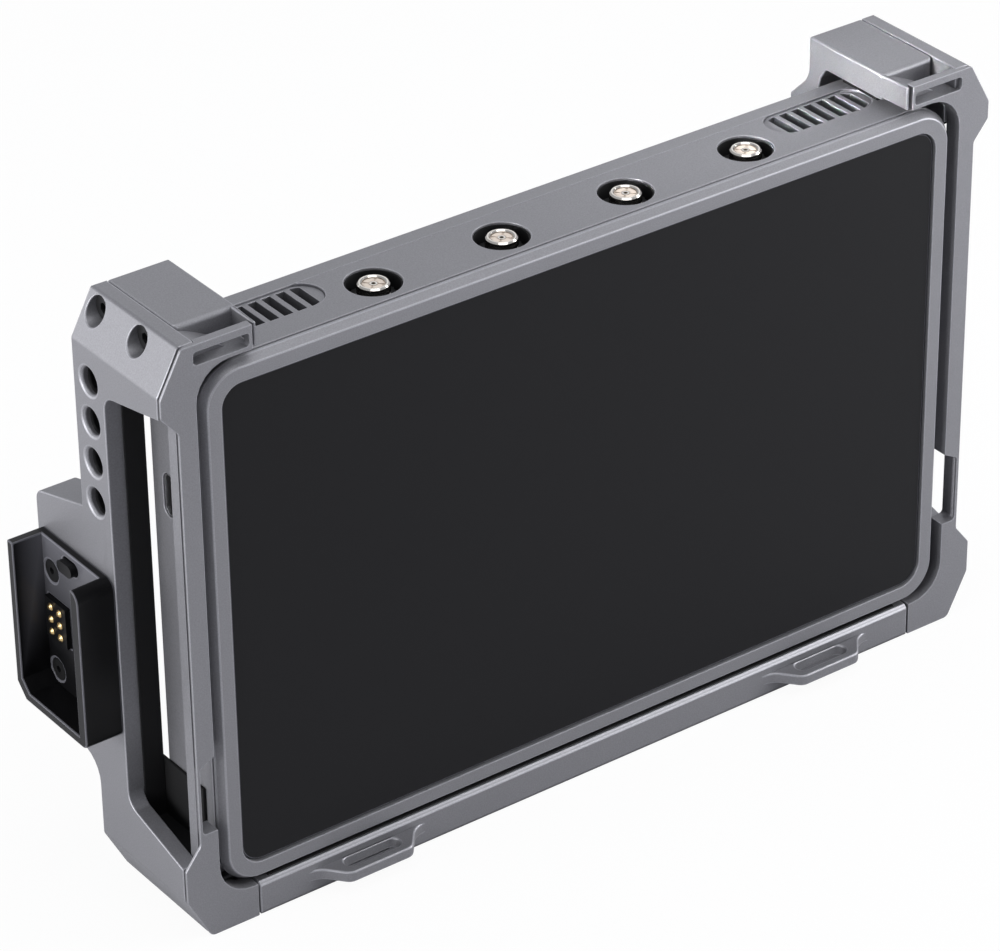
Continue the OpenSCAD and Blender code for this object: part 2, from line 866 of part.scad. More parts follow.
module board_screws() {
    color("#9a9a9a")
        union() {
            for (p = board_posts)
                translate([p[0], at(board_d + board_t + 1.4), p[1]])
                    rotate([90, 0, 0])
                        screw(1.9, 1.38, 0.78, 4.6, 0.7);
            for (p = fan_holes)
                translate([p[0], at(fan_front + fan_d + 1.9), p[1]])
                    rotate([90, 0, 0])
                        screw(1.6, 1.16, 0.78, 5.2, 0.6);
        }
}

// Small loudspeaker on the chassis
module speaker() {
    color("#1e1f22")
        union() {
            deep(chassis_d + chassis_t + 0.02, chassis_d + chassis_t + 5)
                translate([57, body_z0 + wall + 11.5])
                    round_rect(30, 15, 2);
            deep(chassis_d + chassis_t + 4.9, chassis_d + chassis_t + 5.6)
                translate([57, body_z0 + wall + 11.5])
                    round_rect(24, 10, 4.9);
        }
}

// Flat cable from the panel round the chassis to the main board
module display_flex() {
    low = body_z0 + wall + 1;
    flex_top = mid_z - 33;
    color("#b8762f")
        wide(-12, 12)
            polygon(rounded([
                [at(panel_d + 0.2), mid_z + panel_rise - panel_h / 2 - 0.05],
                [at(panel_d + 0.2), low, 0.6],
                [at(board_d + board_t + 1.3), low, 1.2],
                [at(board_d + board_t + 1.3), flex_top],
                [at(board_d + board_t + 0.05), flex_top],
                [at(board_d + board_t + 0.05), flex_top - 1.4],
                [at(board_d + board_t + 1), flex_top - 1.4],
                [at(board_d + board_t + 1), low + 0.3, 0.9],
                [at(panel_d + 0.5), low + 0.3, 0.4],
                [at(panel_d + 0.5), mid_z + panel_rise - panel_h / 2 - 0.05]
            ], 4));
}

// Sideways socket with its tongue
module usb_c_port() {
    shell_x = -body_x + 0.3;
    color("#b4b5b8")
        difference() {
            union() {
                wide(shell_x, shell_x + 8)
                    translate([at(usb_d), usb_z])
                        rotate(90)
                            difference() {
                                slot(8.94, 3.26);
                                slot(8.34, 2.66);
                            }
                wide(shell_x + 7.2, shell_x + 8)
                    translate([at(usb_d), usb_z])
                        rotate(90)
                            slot(8.6, 2.9);
                wide(shell_x + 0.8, shell_x + 7.4)
                    translate([at(usb_d), usb_z])
                        square([0.7, 6.6], center = true);
            }
        }
}

module hdmi_ports() {
    color("#a9aaad")
        for (z = hdmi_z)
            union() {
                wide(body_x - 11, body_x - 0.3)
                    translate([at(side_d), z])
                        difference() {
                            square([4.9, 14.6], center = true);
                            square([4.3, 14], center = true);
                        }
                wide(body_x - 11, body_x - 10)
                    translate([at(side_d), z])
                        square([4.7, 14.4], center = true);
                wide(body_x - 10.1, body_x - 1.2)
                    translate([at(side_d) + 0.3, z])
                        square([1, 12], center = true);
            }
}

module headphone_jack() {
    color("#1c1c1e")
        difference() {
            rod_x(side_d, phone_z, 2.9, body_x - 12, body_x - 0.2);
            rod_x(side_d, phone_z, 1.78, body_x - 11, body_x + 1);
        }
}

// Round key that travels inwards
module power_button() {
    color("#3c3c40")
        union() {
            rod_x(side_d, button_z, button_r, body_x - wall - 0.9, body_x + button_out);
            rod_x(side_d, button_z, button_r + 0.8, body_x - wall - 1.9, body_x - wall - 0.85);
        }
}

// Switch behind the power button, with its bracket to the chassis
module power_switch() {
    front_x = body_x - wall - 2.2 - button_travel;
    color("#2a2b2e")
        union() {
            block(front_x - 3, front_x, side_d - 3, side_d + 3, button_z - 3, button_z + 3);
            block(front_x - 4, front_x - 2.9, chassis_d + chassis_t + 0.02, side_d + 3,
                button_z - 4, button_z + 4);
        }
}

module shell_screws() {
    color("#4a4a4d")
        for (x = [-1, 1], z = [-1, 1])
            translate([x * boss_x, at(body_back - 0.3), mid_z + z * boss_z])
                rotate([90, 0, 0])
                    screw(2.3, 1.7, 0.98, 10, 0.9);
}

// Threaded bushes in the monitor's underside
module bottom_inserts() {
    color("#b08d57")
        for (x = [-1, 1])
            translate([x * monitor_screw_x, at(monitor_screw_d), body_z0 + 0.1])
                difference() {
                    cylinder(r = 4.15, h = 6.8);
                    translate([0, 0, -1])
                        cylinder(r = thread_r, h = 7);
                }
}

// Places of the screws that hold the battery plate
plate_holes = [for (x = [-1, 1], z = [-1, 1]) [x * (rail_w / 2 - 3), mid_z + z * (plate_h / 2 - 6)]];
latch_z = plate_z + plate_h - 10;

// Slide plate for a camcorder battery on the monitor's back
module battery_plate() {
    d0 = body_back + 0.02;
    color("#1a1a1c")
        difference() {
            union() {
                deep(d0, d0 + base_t)
                    translate([0, mid_z])
                        round_rect(2 * plate_x, plate_h, 2);
                for (x = [-1, 1])
                    tall(plate_z + 4, plate_z + plate_h - 14)
                        polygon([
                            [x * plate_x, at(d0 + base_t - 0.5)],
                            [x * plate_x, at(d0 + base_t + rail_h)],
                            [x * (rail_w / 2 - 1.2), at(d0 + base_t + rail_h)],
                            [x * (rail_w / 2 - 1.2), at(d0 + base_t + rail_h - 1)],
                            [x * rail_w / 2, at(d0 + base_t + rail_h - 1)],
                            [x * rail_w / 2, at(d0 + base_t - 0.5)]
                        ]);
                block(-11, 11, d0 + base_t - 0.5, d0 + base_t + 1.6, plate_z + 3, plate_z + 10);
            }
            for (p = plate_holes) {
                rod_y(p[0], p[1], 1.1, body_back - 1, body_back + 6);
                rod_y(p[0], p[1], 2.1, d0 + 1.5, body_back + 6);
            }
            block(-4 - key_gap, 4 + key_gap, body_back - 1, body_back + 6,
                latch_z - 2 - key_gap, latch_z + 2 + key_gap);
            release_cut();
        }
}

// Channel of the release button in the plate's upper end
module release_cut() {
    block(-7 - key_gap, 7 + key_gap, body_back + 1.2, body_back + 6,
        latch_z + 3.2 - latch_travel, plate_z + plate_h + 1);
}

module battery_contacts() {
    color("#c9a24b")
        for (x = [-8, 0, 8])
            block(x - 0.6, x + 0.6, body_back + base_t + 1.64, body_back + base_t + 2.1,
                plate_z + 4, plate_z + 9.4);
}

// Wedge that holds the battery, pulled into the plate by the release button
module battery_latch() {
    color("#2b2b2e")
        wide(-4, 4)
            polygon([
                [at(body_back - 1.6), latch_z - 2],
                [at(body_back + base_t + 2.1), latch_z - 2],
                [at(body_back + base_t + 2.1), latch_z - 1.5],
                [at(body_back + base_t + 0.2), latch_z + 0.9],
                [at(body_back - 1.6), latch_z + 0.9]
            ]);
}

module battery_release() {
    color("#2f2f33")
        block(-7, 7, body_back + 1.4, body_back + base_t + 0.6, latch_z + 3.4, plate_z + plate_h - 0.4);
}

module plate_screws() {
    color("#5a5a5e")
        for (p = plate_holes)
            translate([p[0], at(body_back + 2.9), p[1]])
                rotate([90, 0, 0])
                    screw(1.9, 1.36, 0.93, 6, 0.8);
}

// Outline of one front frame, on the right side
function frame_outline() = [
    [bar_half + bar_seam, 0],
    [cage_x - bottom_cut_x, 0, 1.6],
    [cage_x, bottom_cut_z, 1.5],
    [cage_x, 17.2, 1],
    [plate_in, 21.8, 1.5],
    [plate_in, cage_h - 17.4, 1.5],
    [cage_x, cage_h - 13.1, 1],
    [cage_x, cage_h - top_cut_z, 1.5],
    [cage_x - top_cut_x, cage_h, 1],
    [clamp_in + 1.6, cage_h],
    [clamp_in + 1.6, frame_top, 0.4],
    [frame_in, frame_top, frame_r],
    [frame_in, bar_h, frame_r],
    [bar_half + bar_seam, bar_h]
];

// Cable notch in the inner edge of each front frame
module frame_notch() {
    polygon(rounded([
        [frame_in - 1, mid_z - 41.6],
        [frame_in + 3.4, mid_z - 41.6, 0.8],
        [frame_in + 3.4, mid_z - 26.4, 0.8],
        [frame_in, mid_z - 24.6],
        [frame_in - 1, mid_z - 24.6]
    ], 4));
}

// Front frame on the right side. The hood pocket behind its upper edge has a ramp at one end.
module front_frame(ramp_at_post) {
    ridge_d = 2;
    pocket_z = frame_top + 0.9;
    ramp_l = 8;
    ramp_h = cage_h - 0.5 - pocket_z;
    difference() {
        union() {
            deep(0, face_t)
                polygon(rounded(frame_outline()));
            deep(face_t, body_front)
                intersection() {
                    polygon(rounded(frame_outline()));
                    translate([-groove_depth, 0])
                        polygon(rounded(frame_outline()));
                }
            deep(body_front, frame_t)
                intersection() {
                    polygon(rounded(frame_outline()));
                    union() {
                        translate([0, -1])
                            square([plate_in - fit_gap, frame_top + 1 - fit_gap]);
                        square([post_in - fit_gap, cage_h + 1]);
                    }
                }
            deep(frame_t, pocket_back)
                translate([clamp_in + 1.6, frame_top])
                    square([post_in - fit_gap - clamp_in - 1.6, cage_h - frame_top]);
        }
        difference() {
            block(clamp_in, post_in + 1, ridge_d, pocket_back + 1, pocket_z, cage_h + 1);
            deep(ridge_d - 1, pocket_back + 2)
                polygon(ramp_at_post
                    ? [
                        [post_in + 1, pocket_z - 1],
                        [post_in - ramp_l, pocket_z - 1],
                        for (k = [0:6])
                            [post_in - ramp_l * cos(k * 15), pocket_z + ramp_h * sin(k * 15) * k / 6],
                        [post_in + 1, pocket_z + ramp_h]
                    ]
                    : [
                        [clamp_in, pocket_z - 1],
                        [clamp_in, pocket_z + ramp_h],
                        for (k = [6:-1:0])
                            [clamp_in + 1.6 + ramp_l * cos(k * 15), pocket_z + ramp_h * sin(k * 15) * k / 6],
                        [clamp_in + 1.6 + ramp_l, pocket_z - 1]
                    ]);
        }
        deep(-1, ridge_d + 1)
            polygon(rounded([
                [clamp_in + 2.3, pocket_z, 0.7],
                [post_in + 0.8, pocket_z, 0.7],
                [post_in + 0.8, pocket_z + 2.7, 0.7],
                [clamp_in + 2.3, pocket_z + 2.7, 0.7]
            ], 4));
        deep(-1, frame_t + 1)
            frame_notch();
        for (z = frame_screw_z)
            rod_y(plate_in - 2, z, 1.15, body_front, frame_t + 1);
    }
}

module left_front_frame() {
    color("#83838a")
        mirror([1, 0, 0])
            front_frame(true);
}

module right_front_frame() {
    color("#83838a")
        front_frame(false);
}

// Outline of the window in a side plate, in Y and Z
window_outline = [
    [at(-1), 16.7],
    [at(post_front), 22.4, 3.5],
    [at(post_front), cage_h - 17.4, 3.5],
    [at(-1), cage_h - 13.3]
];

// Side plate on the right side, with a row of threads in its post
module side_plate(threads) {
    difference() {
        union() {
            deep(frame_t + fit_gap, cage_d)
                polygon(rounded([
                    [bar_half + bar_seam, 0],
                    [cage_x - bottom_cut_x, 0, 1.6],
                    [cage_x, bottom_cut_z, 1.5],
                    [cage_x, cage_h - top_cut_z, 1.5],
                    [cage_x - top_cut_x, cage_h, 1],
                    [post_in, cage_h],
                    [post_in, cage_h - 13.3],
                    [plate_in, cage_h - 13.3],
                    [plate_in, 16.5],
                    [post_in, 16.5],
                    [post_in, bar_h / 2 - fit_gap],
                    [bar_half + bar_seam, bar_h / 2 - fit_gap]
                ]));
            deep(post_front, cage_d)
                translate([post_in, bar_h / 2 + 0.2])
                    square([plate_in + 0.5 - post_in, frame_top + 0.3 - bar_h / 2]);
            deep(body_front, frame_t + fit_gap + 0.1)
                intersection() {
                    polygon(rounded([
                        [post_in, -1],
                        [cage_x - bottom_cut_x, 0, 1.6],
                        [cage_x, bottom_cut_z, 1.5],
                        [cage_x, cage_h - top_cut_z, 1.5],
                        [cage_x - top_cut_x, cage_h, 1],
                        [post_in, cage_h]
                    ]));
                    union() {
                        translate([plate_in, 0])
                            square([plate_t, cage_h]);
                        translate([post_in, frame_top])
                            square([post_w, cage_h - frame_top]);
                    }
                }
        }
        wide(plate_in - 1, cage_x + 1)
            polygon(rounded(window_outline, 5));
        for (i = threads) {
            rod_x(cage_d - 5.3, thread_top - i * thread_pitch, thread_r, post_in - 1, cage_x + 1);
            translate([cage_x - 0.5, at(cage_d - 5.3), thread_top - i * thread_pitch])
                rotate([0, 90, 0])
                    cylinder(r1 = thread_r, r2 = thread_r + 0.7, h = 0.7);
        }
        for (d = clamp_screw_d) {
            rod_x(d, clamp_screw_z, clamp_bore_r, post_in + 1.4, cage_x + 1);
            rod_x(d, clamp_screw_z, clamp_screw_r + 0.15, post_in - 1, post_in + 2);
        }
        for (z = frame_screw_z) {
            rod_y(plate_in - 2, z, 1.4, body_front - 1, cage_d + 1);
            rod_y(plate_in - 2, z, 2.7, frame_t + 4, cage_d + 1);
        }
        for (d = bar_screw_d) {
            translate([bar_screw_x, at(d), -1])
                cylinder(r = 1.65, h = bar_h);
            translate([bar_screw_x, at(d), -0.01])
                cylinder(r1 = 3.2, r2 = 1.65, h = 1.56);
        }
    }
}

// Carrier of the dock behind the left post, in Y and Z
module dock_carrier() {
    back = dock_d + dock_w + 2.3;
    wide(post_in, cage_x)
        polygon(rounded([
            [at(cage_d) - 1, dock_z - 21],
            [at(cage_d), dock_z - 21],
            [at(cage_d), dock_z - 10.6, 6],
            [at(back), dock_z - 10.6, 3],
            [at(back), dock_top + 7, 2.5],
            [at(cage_d), dock_top + 11.9],
            [at(cage_d) - 1, dock_top + 11.9]
        ]));
}

module left_side_plate() {
    color("#8c8c93")
        mirror([1, 0, 0])
            difference() {
                union() {
                    side_plate([0:3]);
                    dock_carrier();
                }
                for (p = dock_holes)
                    rod_x(p[0], p[1], 1.05, cage_x - 6, cage_x + 1);
                catch_well();
            }
}

module right_side_plate() {
    color("#8c8c93")
        side_plate([0:3]);
}

module bottom_bar() {
    color("#86868d")
        difference() {
            union() {
                wide(-bar_half, bar_half)
                    polygon(rounded([
                        [at(0), 0, 0.4],
                        [at(cage_d), 0, 0.4],
                        [at(cage_d), bar_h, 0.4],
                        [at(0.8), bar_h],
                        [at(0), bar_h - 0.8]
                    ], 3));
                for (x = [-1, 1])
                    translate([x > 0 ? bar_half - 1 : -post_in + bar_end_gap, at(6), bar_h / 2 + 0.05])
                        cube([corner_w + 1 - bar_end_gap, cage_d - 8.4, bar_h / 2 - 0.15]);
                for (x = [-1, 1])
                    eyelet(x * eyelet_x);
            }
            for (x = [-1, 1])
                strap_slot(x * eyelet_x);
            translate([0, 0, -1])
                cylinder(r = thread_r, h = bar_h);
            for (x = [-1, 1]) {
                translate([x * monitor_screw_x, at(monitor_screw_d), -1])
                    cylinder(r = 3.3, h = bar_h + 2);
                translate([x * monitor_screw_x, at(monitor_screw_d), -1])
                    cylinder(r = 6.2, h = 4.6);
            }
            for (x = [-1, 1], d = bar_screw_d)
                translate([x * bar_screw_x, at(d), 0])
                    cylinder(r = 1.25, h = bar_h + 1);
        }
}

// Strap eyelet that stands out of the bar's front
module eyelet(x) {
    tall(eyelet_z, eyelet_z + eyelet_t)
        translate([x, at(0)])
            polygon(rounded([
                [-17, 1],
                [-17, 0],
                [-11.8, 0, 5],
                [-7.4, -eyelet_out, 2.4],
                [7.4, -eyelet_out, 2.4],
                [11.8, 0, 5],
                [17, 0],
                [17, 1]
            ], 6));
}

module strap_slot(x) {
    tall(eyelet_z - 1, eyelet_z + eyelet_t + 0.01)
        translate([x, at(0) - 0.2 - slot_w / 2])
            slot(2 * slot_half, slot_w);
}

// Top clamp on the right side: an arm over the monitor, a leg behind it and a tongue in front
module top_clamp() {
    arm_z = clamp_z;
    leg_low = arm_z - 15;
    leg_back = cage_d + 5.7;
    difference() {
        intersection() {
            union() {
                wide(clamp_in, clamp_out)
                    polygon(rounded([
                        [at(pocket_back + 0.1), cage_h, 1.1],
                        [at(pocket_back + 0.1), arm_z, 0.3],
                        [at(body_back - 0.4), arm_z, 1],
                        [at(body_back + 1.3), arm_z - 2.4, 0.6],
                        [at(body_back + leg_gap), arm_z - 5.4, 2],
                        [at(body_back + leg_gap), leg_low],
                        [at(leg_back), leg_low],
                        [at(leg_back), arm_z - 9.2, 0.8],
                        [at(cage_d), arm_z - 3.6, 6],
                        [at(cage_d), cage_h, 0.5]
                    ]));
                block(clamp_in, clamp_in + tongue_t, 0.5, pocket_back + 0.6, frame_top + 0.1, cage_h);
            }
            tall(leg_low - 1, cage_h + 1)
                polygon(rounded([
                    [clamp_in + tongue_lean, at(0)],
                    [clamp_in + tongue_t, at(0)],
                    [clamp_in + tongue_t, at(pocket_back + 0.1)],
                    [clamp_out, at(pocket_back + 0.1), 1.2],
                    [clamp_out, at(leg_back)],
                    [clamp_in, at(leg_back)],
                    [clamp_in, at(tongue_bend)]
                ]));
        }
        for (d = clamp_screw_d)
            rod_x(d, clamp_screw_z, clamp_screw_r - 0.02, clamp_out - 8.5, clamp_out + 1);
        rod_y(rear_screw_x, rear_screw_z, clamp_screw_r + 0.15, body_back, cage_d + 7);
        rod_y(rear_screw_x, rear_screw_z, 3, cage_d + 0.6, cage_d + 7);
    }
}

module left_top_clamp() {
    color("#818188")
        mirror([1, 0, 0])
            top_clamp();
}

module right_top_clamp() {
    color("#818188")
        top_clamp();
}

// Black lining round the inside of a side window, on the right side
module window_liner() {
    lining_t = 0.4;
    wide(post_in + 0.1, plate_in - 0.1)
        polygon([
            [at(frame_t + 0.4), 16.6],
            [at(post_front - 0.05), 16.6],
            [at(post_front - 0.05), cage_h - 13.4],
            [at(frame_t + 0.4), cage_h - 13.4],
            [at(frame_t + 0.4), cage_h - 13.4 - lining_t],
            [at(post_front - 0.05 - lining_t), cage_h - 13.4 - lining_t],
            [at(post_front - 0.05 - lining_t), 16.6 + lining_t],
            [at(frame_t + 0.4), 16.6 + lining_t]
        ]);
}

module left_window_liner() {
    color("#141416")
        mirror([1, 0, 0])
            window_liner();
}

module right_window_liner() {
    color("#141416")
        window_liner();
}

// Rubber pads between the clamps and the monitor's top and back
module clamp_pads() {
    color("#18181a")
        for (x = [0, 1])
            mirror([x, 0, 0]) {
                block(clamp_in + 1.5, clamp_out - 3.5, pocket_back + 3, body_back - 4,
                    body_top + 0.05, clamp_z - 0.05);
                difference() {
                    rod_y(rear_screw_x, rear_screw_z, 3.2, body_back + 0.05, body_back + leg_gap - 0.05);
                    rod_y(rear_screw_x, rear_screw_z, clamp_screw_r + 0.2,
                        body_back - 1, body_back + leg_gap + 1);
                }
            }
}

module bar_pads() {
    color("#18181a")
        for (x = [-1, 1])
            block(x * 60 - 16, x * 60 + 16, 6, shell_back - 2, bar_h + 0.02, body_z0 - 0.02);
}

module clamp_screws() {
    color("#232326")
        for (x = [0, 1], d = clamp_screw_d)
            mirror([x, 0, 0])
                translate([post_in + 3.2, at(d), clamp_screw_z])
                    rotate([0, -90, 0])
                        screw(2.6, 1.75, clamp_screw_r - 0.04, 9.5, 1.2);
}

module rear_screws() {
    color("#232326")
        for (x = [-1, 1])
            translate([x * rear_screw_x, at(cage_d + 2.7), rear_screw_z])
                rotate([90, 0, 0])
                    screw(2.7, 2.05, clamp_screw_r - 0.06, 11.5, 1.2);
}

module frame_screws() {
    color("#232326")
        for (x = [-1, 1], z = frame_screw_z)
            translate([x * (plate_in - 2), at(frame_t + 6.4), z])
                rotate([90, 0, 0])
                    screw(2.4, 2.35, 1.14, 8.4, 1);
}

module bar_screws() {
    color("#232326")
        for (x = [-1, 1], d = bar_screw_d)
            translate([x * bar_screw_x, at(d), 0.12])
                sunk_screw(3, 1.24, 6.6, 1);
}

module monitor_screws() {
    color("#9b9ba0")
        for (x = [-1, 1])
            translate([x * monitor_screw_x, at(monitor_screw_d), 0.9])
                difference() {
                    union() {
                        cylinder(r = 5.8, h = 2.68);
                        cylinder(r = thread_r - 0.05, h = 11.4);
                    }
                    translate([-7, -0.8, -1])
                        cube([14, 1.6, 2.2]);
                }
}

// Places of the dock's screws as depth and height
dock_holes = [for (d = [6, dock_w - 4.8], z = [5.4, dock_h - 7.3]) [dock_d + d, dock_z + z]];

// Outline of the dock in Y and Z
function dock_outline(front, back, low) = [
    [at(dock_d) + front, dock_z + low, 1.4],
    [at(dock_d + dock_w) - back - 3, dock_z + low],
    [at(dock_d + dock_w) - back, dock_z + low + 3],
    [at(dock_d + dock_w) - back, dock_top],
    [at(dock_d) + front, dock_top, front > 0 ? 0.2 : 2.6]
];

// Slide-in tray on the left side, open to the left and at the top
module dock_tray() {
    face = cage_x + 0.02;
    color("#17171a")
        mirror([1, 0, 0])
            difference() {
                wide(face, face + dock_out)
                    polygon(rounded(dock_outline(0, 0, 0), 5));
                wide(face + dock_floor, face + dock_out + 1)
                    polygon([
                        [at(dock_d) + dock_front, dock_z + dock_wall],
                        [at(dock_d + dock_w) - dock_wall - 2.4, dock_z + dock_wall],
                        [at(dock_d + dock_w) - dock_wall, dock_z + dock_wall + 2.4],
                        [at(dock_d + dock_w) - dock_wall, dock_top + 1],
                        [at(dock_d) + dock_front, dock_top + 1]
                    ]);
                for (p = dock_holes) {
                    rod_x(p[0], p[1], 1.35, cage_x - 1, face + 3);
                    translate([face + dock_floor - 1.2, at(p[0]), p[1]])
                        rotate([0, 90, 0])
                            cylinder(r1 = 1.35, r2 = 2.6, h = 1.21);
                }
                wide(face - 1, face + dock_floor + 1)
                    translate([at(catch_d), catch_z])
                        slot(2 * (catch_half + key_gap), 2 * (catch_r + key_gap));
                wide(face + dock_floor - 0.6, face + dock_floor + 1)
                    contact_outline(0.1);
            }
}

// Outline of the dock's contact block in Y and Z
module contact_outline(grow) {
    translate([at(contact_d), contact_z])
        square([7.4 + 2 * grow, 9 + 2 * grow], center = true);
}

module dock_contact_block() {
    face = cage_x + 0.04 + dock_floor - 0.6;
    color("#0f0f11")
        mirror([1, 0, 0])
            difference() {
                wide(face, face + contact_h)
                    contact_outline(0);
                for (p = dock_pins)
                    rod_x(p[0], p[1], 0.82, face - 1, face + 4);
            }
}

// Places of the dock's gold contacts as depth and height
dock_pins = [for (d = [-1.6, 1.6], z = [-2.8, 0, 2.8]) [contact_d + d, contact_z + z]];

module dock_contacts() {
    face = cage_x + 0.06 + dock_floor - 0.6;
    color("#d0a850")
        mirror([1, 0, 0])
            for (p = dock_pins)
                union() {
                    rod_x(p[0], p[1], 0.8, face, face + contact_h + 0.1);
                    translate([face + contact_h + 0.1, at(p[0]), p[1]])
                        rotate([0, 90, 0])
                            cylinder(r1 = 0.8, r2 = 0.4, h = 0.4);
                }
}

// Well in the side plate behind the dock's catch
module catch_well() {
    wide(cage_x - 1.1 - dock_catch_travel - 1.2, cage_x + 1)
        translate([at(catch_d), catch_z])
            slot(2 * (catch_half + 1.1), 2 * (catch_r + 1.1));
}

// Sprung catch that clicks into what slides into the dock
module dock_catch() {
    color("#101013")
        mirror([1, 0, 0])
            union() {
                wide(cage_x - 1.1, cage_x - 0.1)
                    translate([at(catch_d), catch_z])
                        slot(2 * (catch_half + 0.8), 2 * (catch_r + 0.8));
                wide(cage_x - 0.5, cage_x + dock_floor + 1.4)
                    translate([at(catch_d), catch_z])
                        slot(2 * catch_half, 2 * catch_r);
            }
}

module dock_screws() {
    color("#1b1b1d")
        mirror([1, 0, 0])
            for (p = dock_holes)
                translate([cage_x + dock_floor - 0.1, at(p[0]), p[1]])
                    rotate([0, -90, 0])
                        sunk_screw(2.3, 1, 6.6, 0.8);
}

front_bezel();
cover_glass();
lcd_panel();
backlight_unit();
display_chassis();
body_shell();
rear_shell();
left_vent_grille();
right_vent_grille();
antenna_jack_1();
antenna_jack_2();
antenna_jack_3();
antenna_jack_4();
jack_insulators();
jack_contacts();
jack_nuts();
rf_module();
main_board();
heat_sink();
fan_housing();
fan_cover();
fan_stator();
fan_rotor();
board_screws();
speaker();
display_flex();
usb_c_port();
hdmi_ports();
headphone_jack();
power_button();
power_switch();
shell_screws();
bottom_inserts();
battery_plate();
battery_contacts();
battery_latch();
battery_release();
plate_screws();
left_side_plate();
right_side_plate();
left_front_frame();
right_front_frame();
bottom_bar();
left_top_clamp();
right_top_clamp();
left_window_liner();
right_window_liner();
clamp_pads();
bar_pads();
clamp_screws();
rear_screws();
frame_screws();
bar_screws();
monitor_screws();
dock_tray();
dock_contact_block();
dock_contacts();
dock_catch();
dock_screws();
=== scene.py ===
"""Dresses the camera field monitor and its cage for the studio picture.

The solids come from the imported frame. Metal and plastic pieces are shown as copies with
broken edges, the small things that the solids leave out are modelled here, and the studio
with its camera is set up round them. The scene is in metres, in the frame of the solids.
Sizes of pieces are written in millimetres and angles in degrees, unless a comment says so.
"""

import json
import logging
import math
from dataclasses import dataclass, field, replace
from enum import Enum

import bmesh
import bpy
from mathutils import Matrix, Vector

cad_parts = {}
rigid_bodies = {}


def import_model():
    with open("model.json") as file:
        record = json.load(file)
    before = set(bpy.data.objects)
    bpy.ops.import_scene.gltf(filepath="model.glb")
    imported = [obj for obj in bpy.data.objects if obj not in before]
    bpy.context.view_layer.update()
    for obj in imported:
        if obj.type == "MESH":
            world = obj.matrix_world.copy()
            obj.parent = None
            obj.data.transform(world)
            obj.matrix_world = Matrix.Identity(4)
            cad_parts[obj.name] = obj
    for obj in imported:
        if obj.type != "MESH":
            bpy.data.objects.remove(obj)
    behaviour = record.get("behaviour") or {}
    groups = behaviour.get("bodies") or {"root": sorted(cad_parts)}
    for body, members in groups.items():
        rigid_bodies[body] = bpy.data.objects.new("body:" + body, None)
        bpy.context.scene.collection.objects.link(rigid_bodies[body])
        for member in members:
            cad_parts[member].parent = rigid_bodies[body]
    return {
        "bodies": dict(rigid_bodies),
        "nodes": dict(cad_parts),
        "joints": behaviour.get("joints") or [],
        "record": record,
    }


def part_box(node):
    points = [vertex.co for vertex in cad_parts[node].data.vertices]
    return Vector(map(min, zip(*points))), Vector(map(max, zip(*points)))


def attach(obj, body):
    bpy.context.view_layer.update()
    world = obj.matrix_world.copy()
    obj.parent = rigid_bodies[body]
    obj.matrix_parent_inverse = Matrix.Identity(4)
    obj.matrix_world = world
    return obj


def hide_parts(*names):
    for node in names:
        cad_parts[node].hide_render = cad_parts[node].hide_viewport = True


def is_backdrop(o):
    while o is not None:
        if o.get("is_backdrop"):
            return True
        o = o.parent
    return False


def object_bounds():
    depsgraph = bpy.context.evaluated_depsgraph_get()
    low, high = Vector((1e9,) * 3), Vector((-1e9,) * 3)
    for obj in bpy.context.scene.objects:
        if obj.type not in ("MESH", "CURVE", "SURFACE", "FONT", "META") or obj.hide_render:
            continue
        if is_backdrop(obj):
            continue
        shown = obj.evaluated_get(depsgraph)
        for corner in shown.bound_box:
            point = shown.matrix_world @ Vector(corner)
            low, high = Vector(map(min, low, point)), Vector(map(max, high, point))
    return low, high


log = logging.getLogger("field_monitor")

MM = 0.001
CAGE_D = 30.4
BODY_TOP = 123.7
JACK_X = (-44.805, -14.935, 14.935, 44.805)
JACK_D = 10.6

# Points nearer than this many metres become one, first in a solid, then in a spun piece
MERGE = 0.0000015
WELD = 0.000002
# Points nearer than this many metres to a cutting plane lie on it
ON_PLANE = 0.0000001
# Faces whose angle in radians is under this become one flat face
FLAT = math.radians(0.6)
# Outer edges with a larger angle in radians are broken
BREAK = math.radians(28.0)
# Edges with a smaller angle in radians are shaded smooth
SMOOTH = math.radians(35.0)
# Share of the large faces in the normals of an edge, from 1 to 100
FACE_WEIGHT = 80
# The layer of face strengths that the weighted normals read, and its highest value
FACE_STRENGTH = "__mod_weightednormals_faceweight"
STRONG = 16384
# Flat faces of a larger area in square metres get that value
LARGE = 0.00004
# A face is folded where one of its triangles, larger than this in square metres, is turned over
FOLD = 0.000000005
# A filled face may differ by this share from the area that it had
AREA_SHARE = 0.02
# How deep the grain of a surface is, in metres
GRAIN_DEPTH = 0.00005

UP = Vector((0.0, 0.0, 1.0))


def at(depth: float) -> float:
    """Gives the Y in millimetres of a depth behind the cage's front plane."""
    return depth - CAGE_D / 2


def sight(azimuth: float, elevation: float) -> Vector:
    """Gives the direction from the object to an azimuth and elevation in radians."""
    return Vector((math.sin(azimuth) * math.cos(elevation), -math.cos(azimuth) * math.cos(elevation),
                   math.sin(elevation)))


class Slot(Enum):
    """Material slots of the record, which each piece takes its finish from."""

    ANODISED = "anodised"
    GLASS = "glass"
    PANEL = "panel_black"
    WHITE = "white_plastic"
    BARE = "bare_metal"
    NICKEL = "nickel"
    CREAM = "cream_plastic"
    GOLD = "gold"
    BOARD = "board_green"
    PLASTIC = "black_plastic"
    COPPER = "copper"
    STEEL = "steel"
    BLACK_STEEL = "black_steel"
    BRASS = "brass"
    RUBBER = "black_rubber"
    FILM = "flex_film"


class Shade(Enum):
    """Node groups that several finishes share."""

    BLAST_GRAIN = "blast_grain"
    # Painted highlight: a lighter colour on broken edges and on the tray's floor
    PAINTED_EDGE_HIGHLIGHT = "painted_edge_highlight"


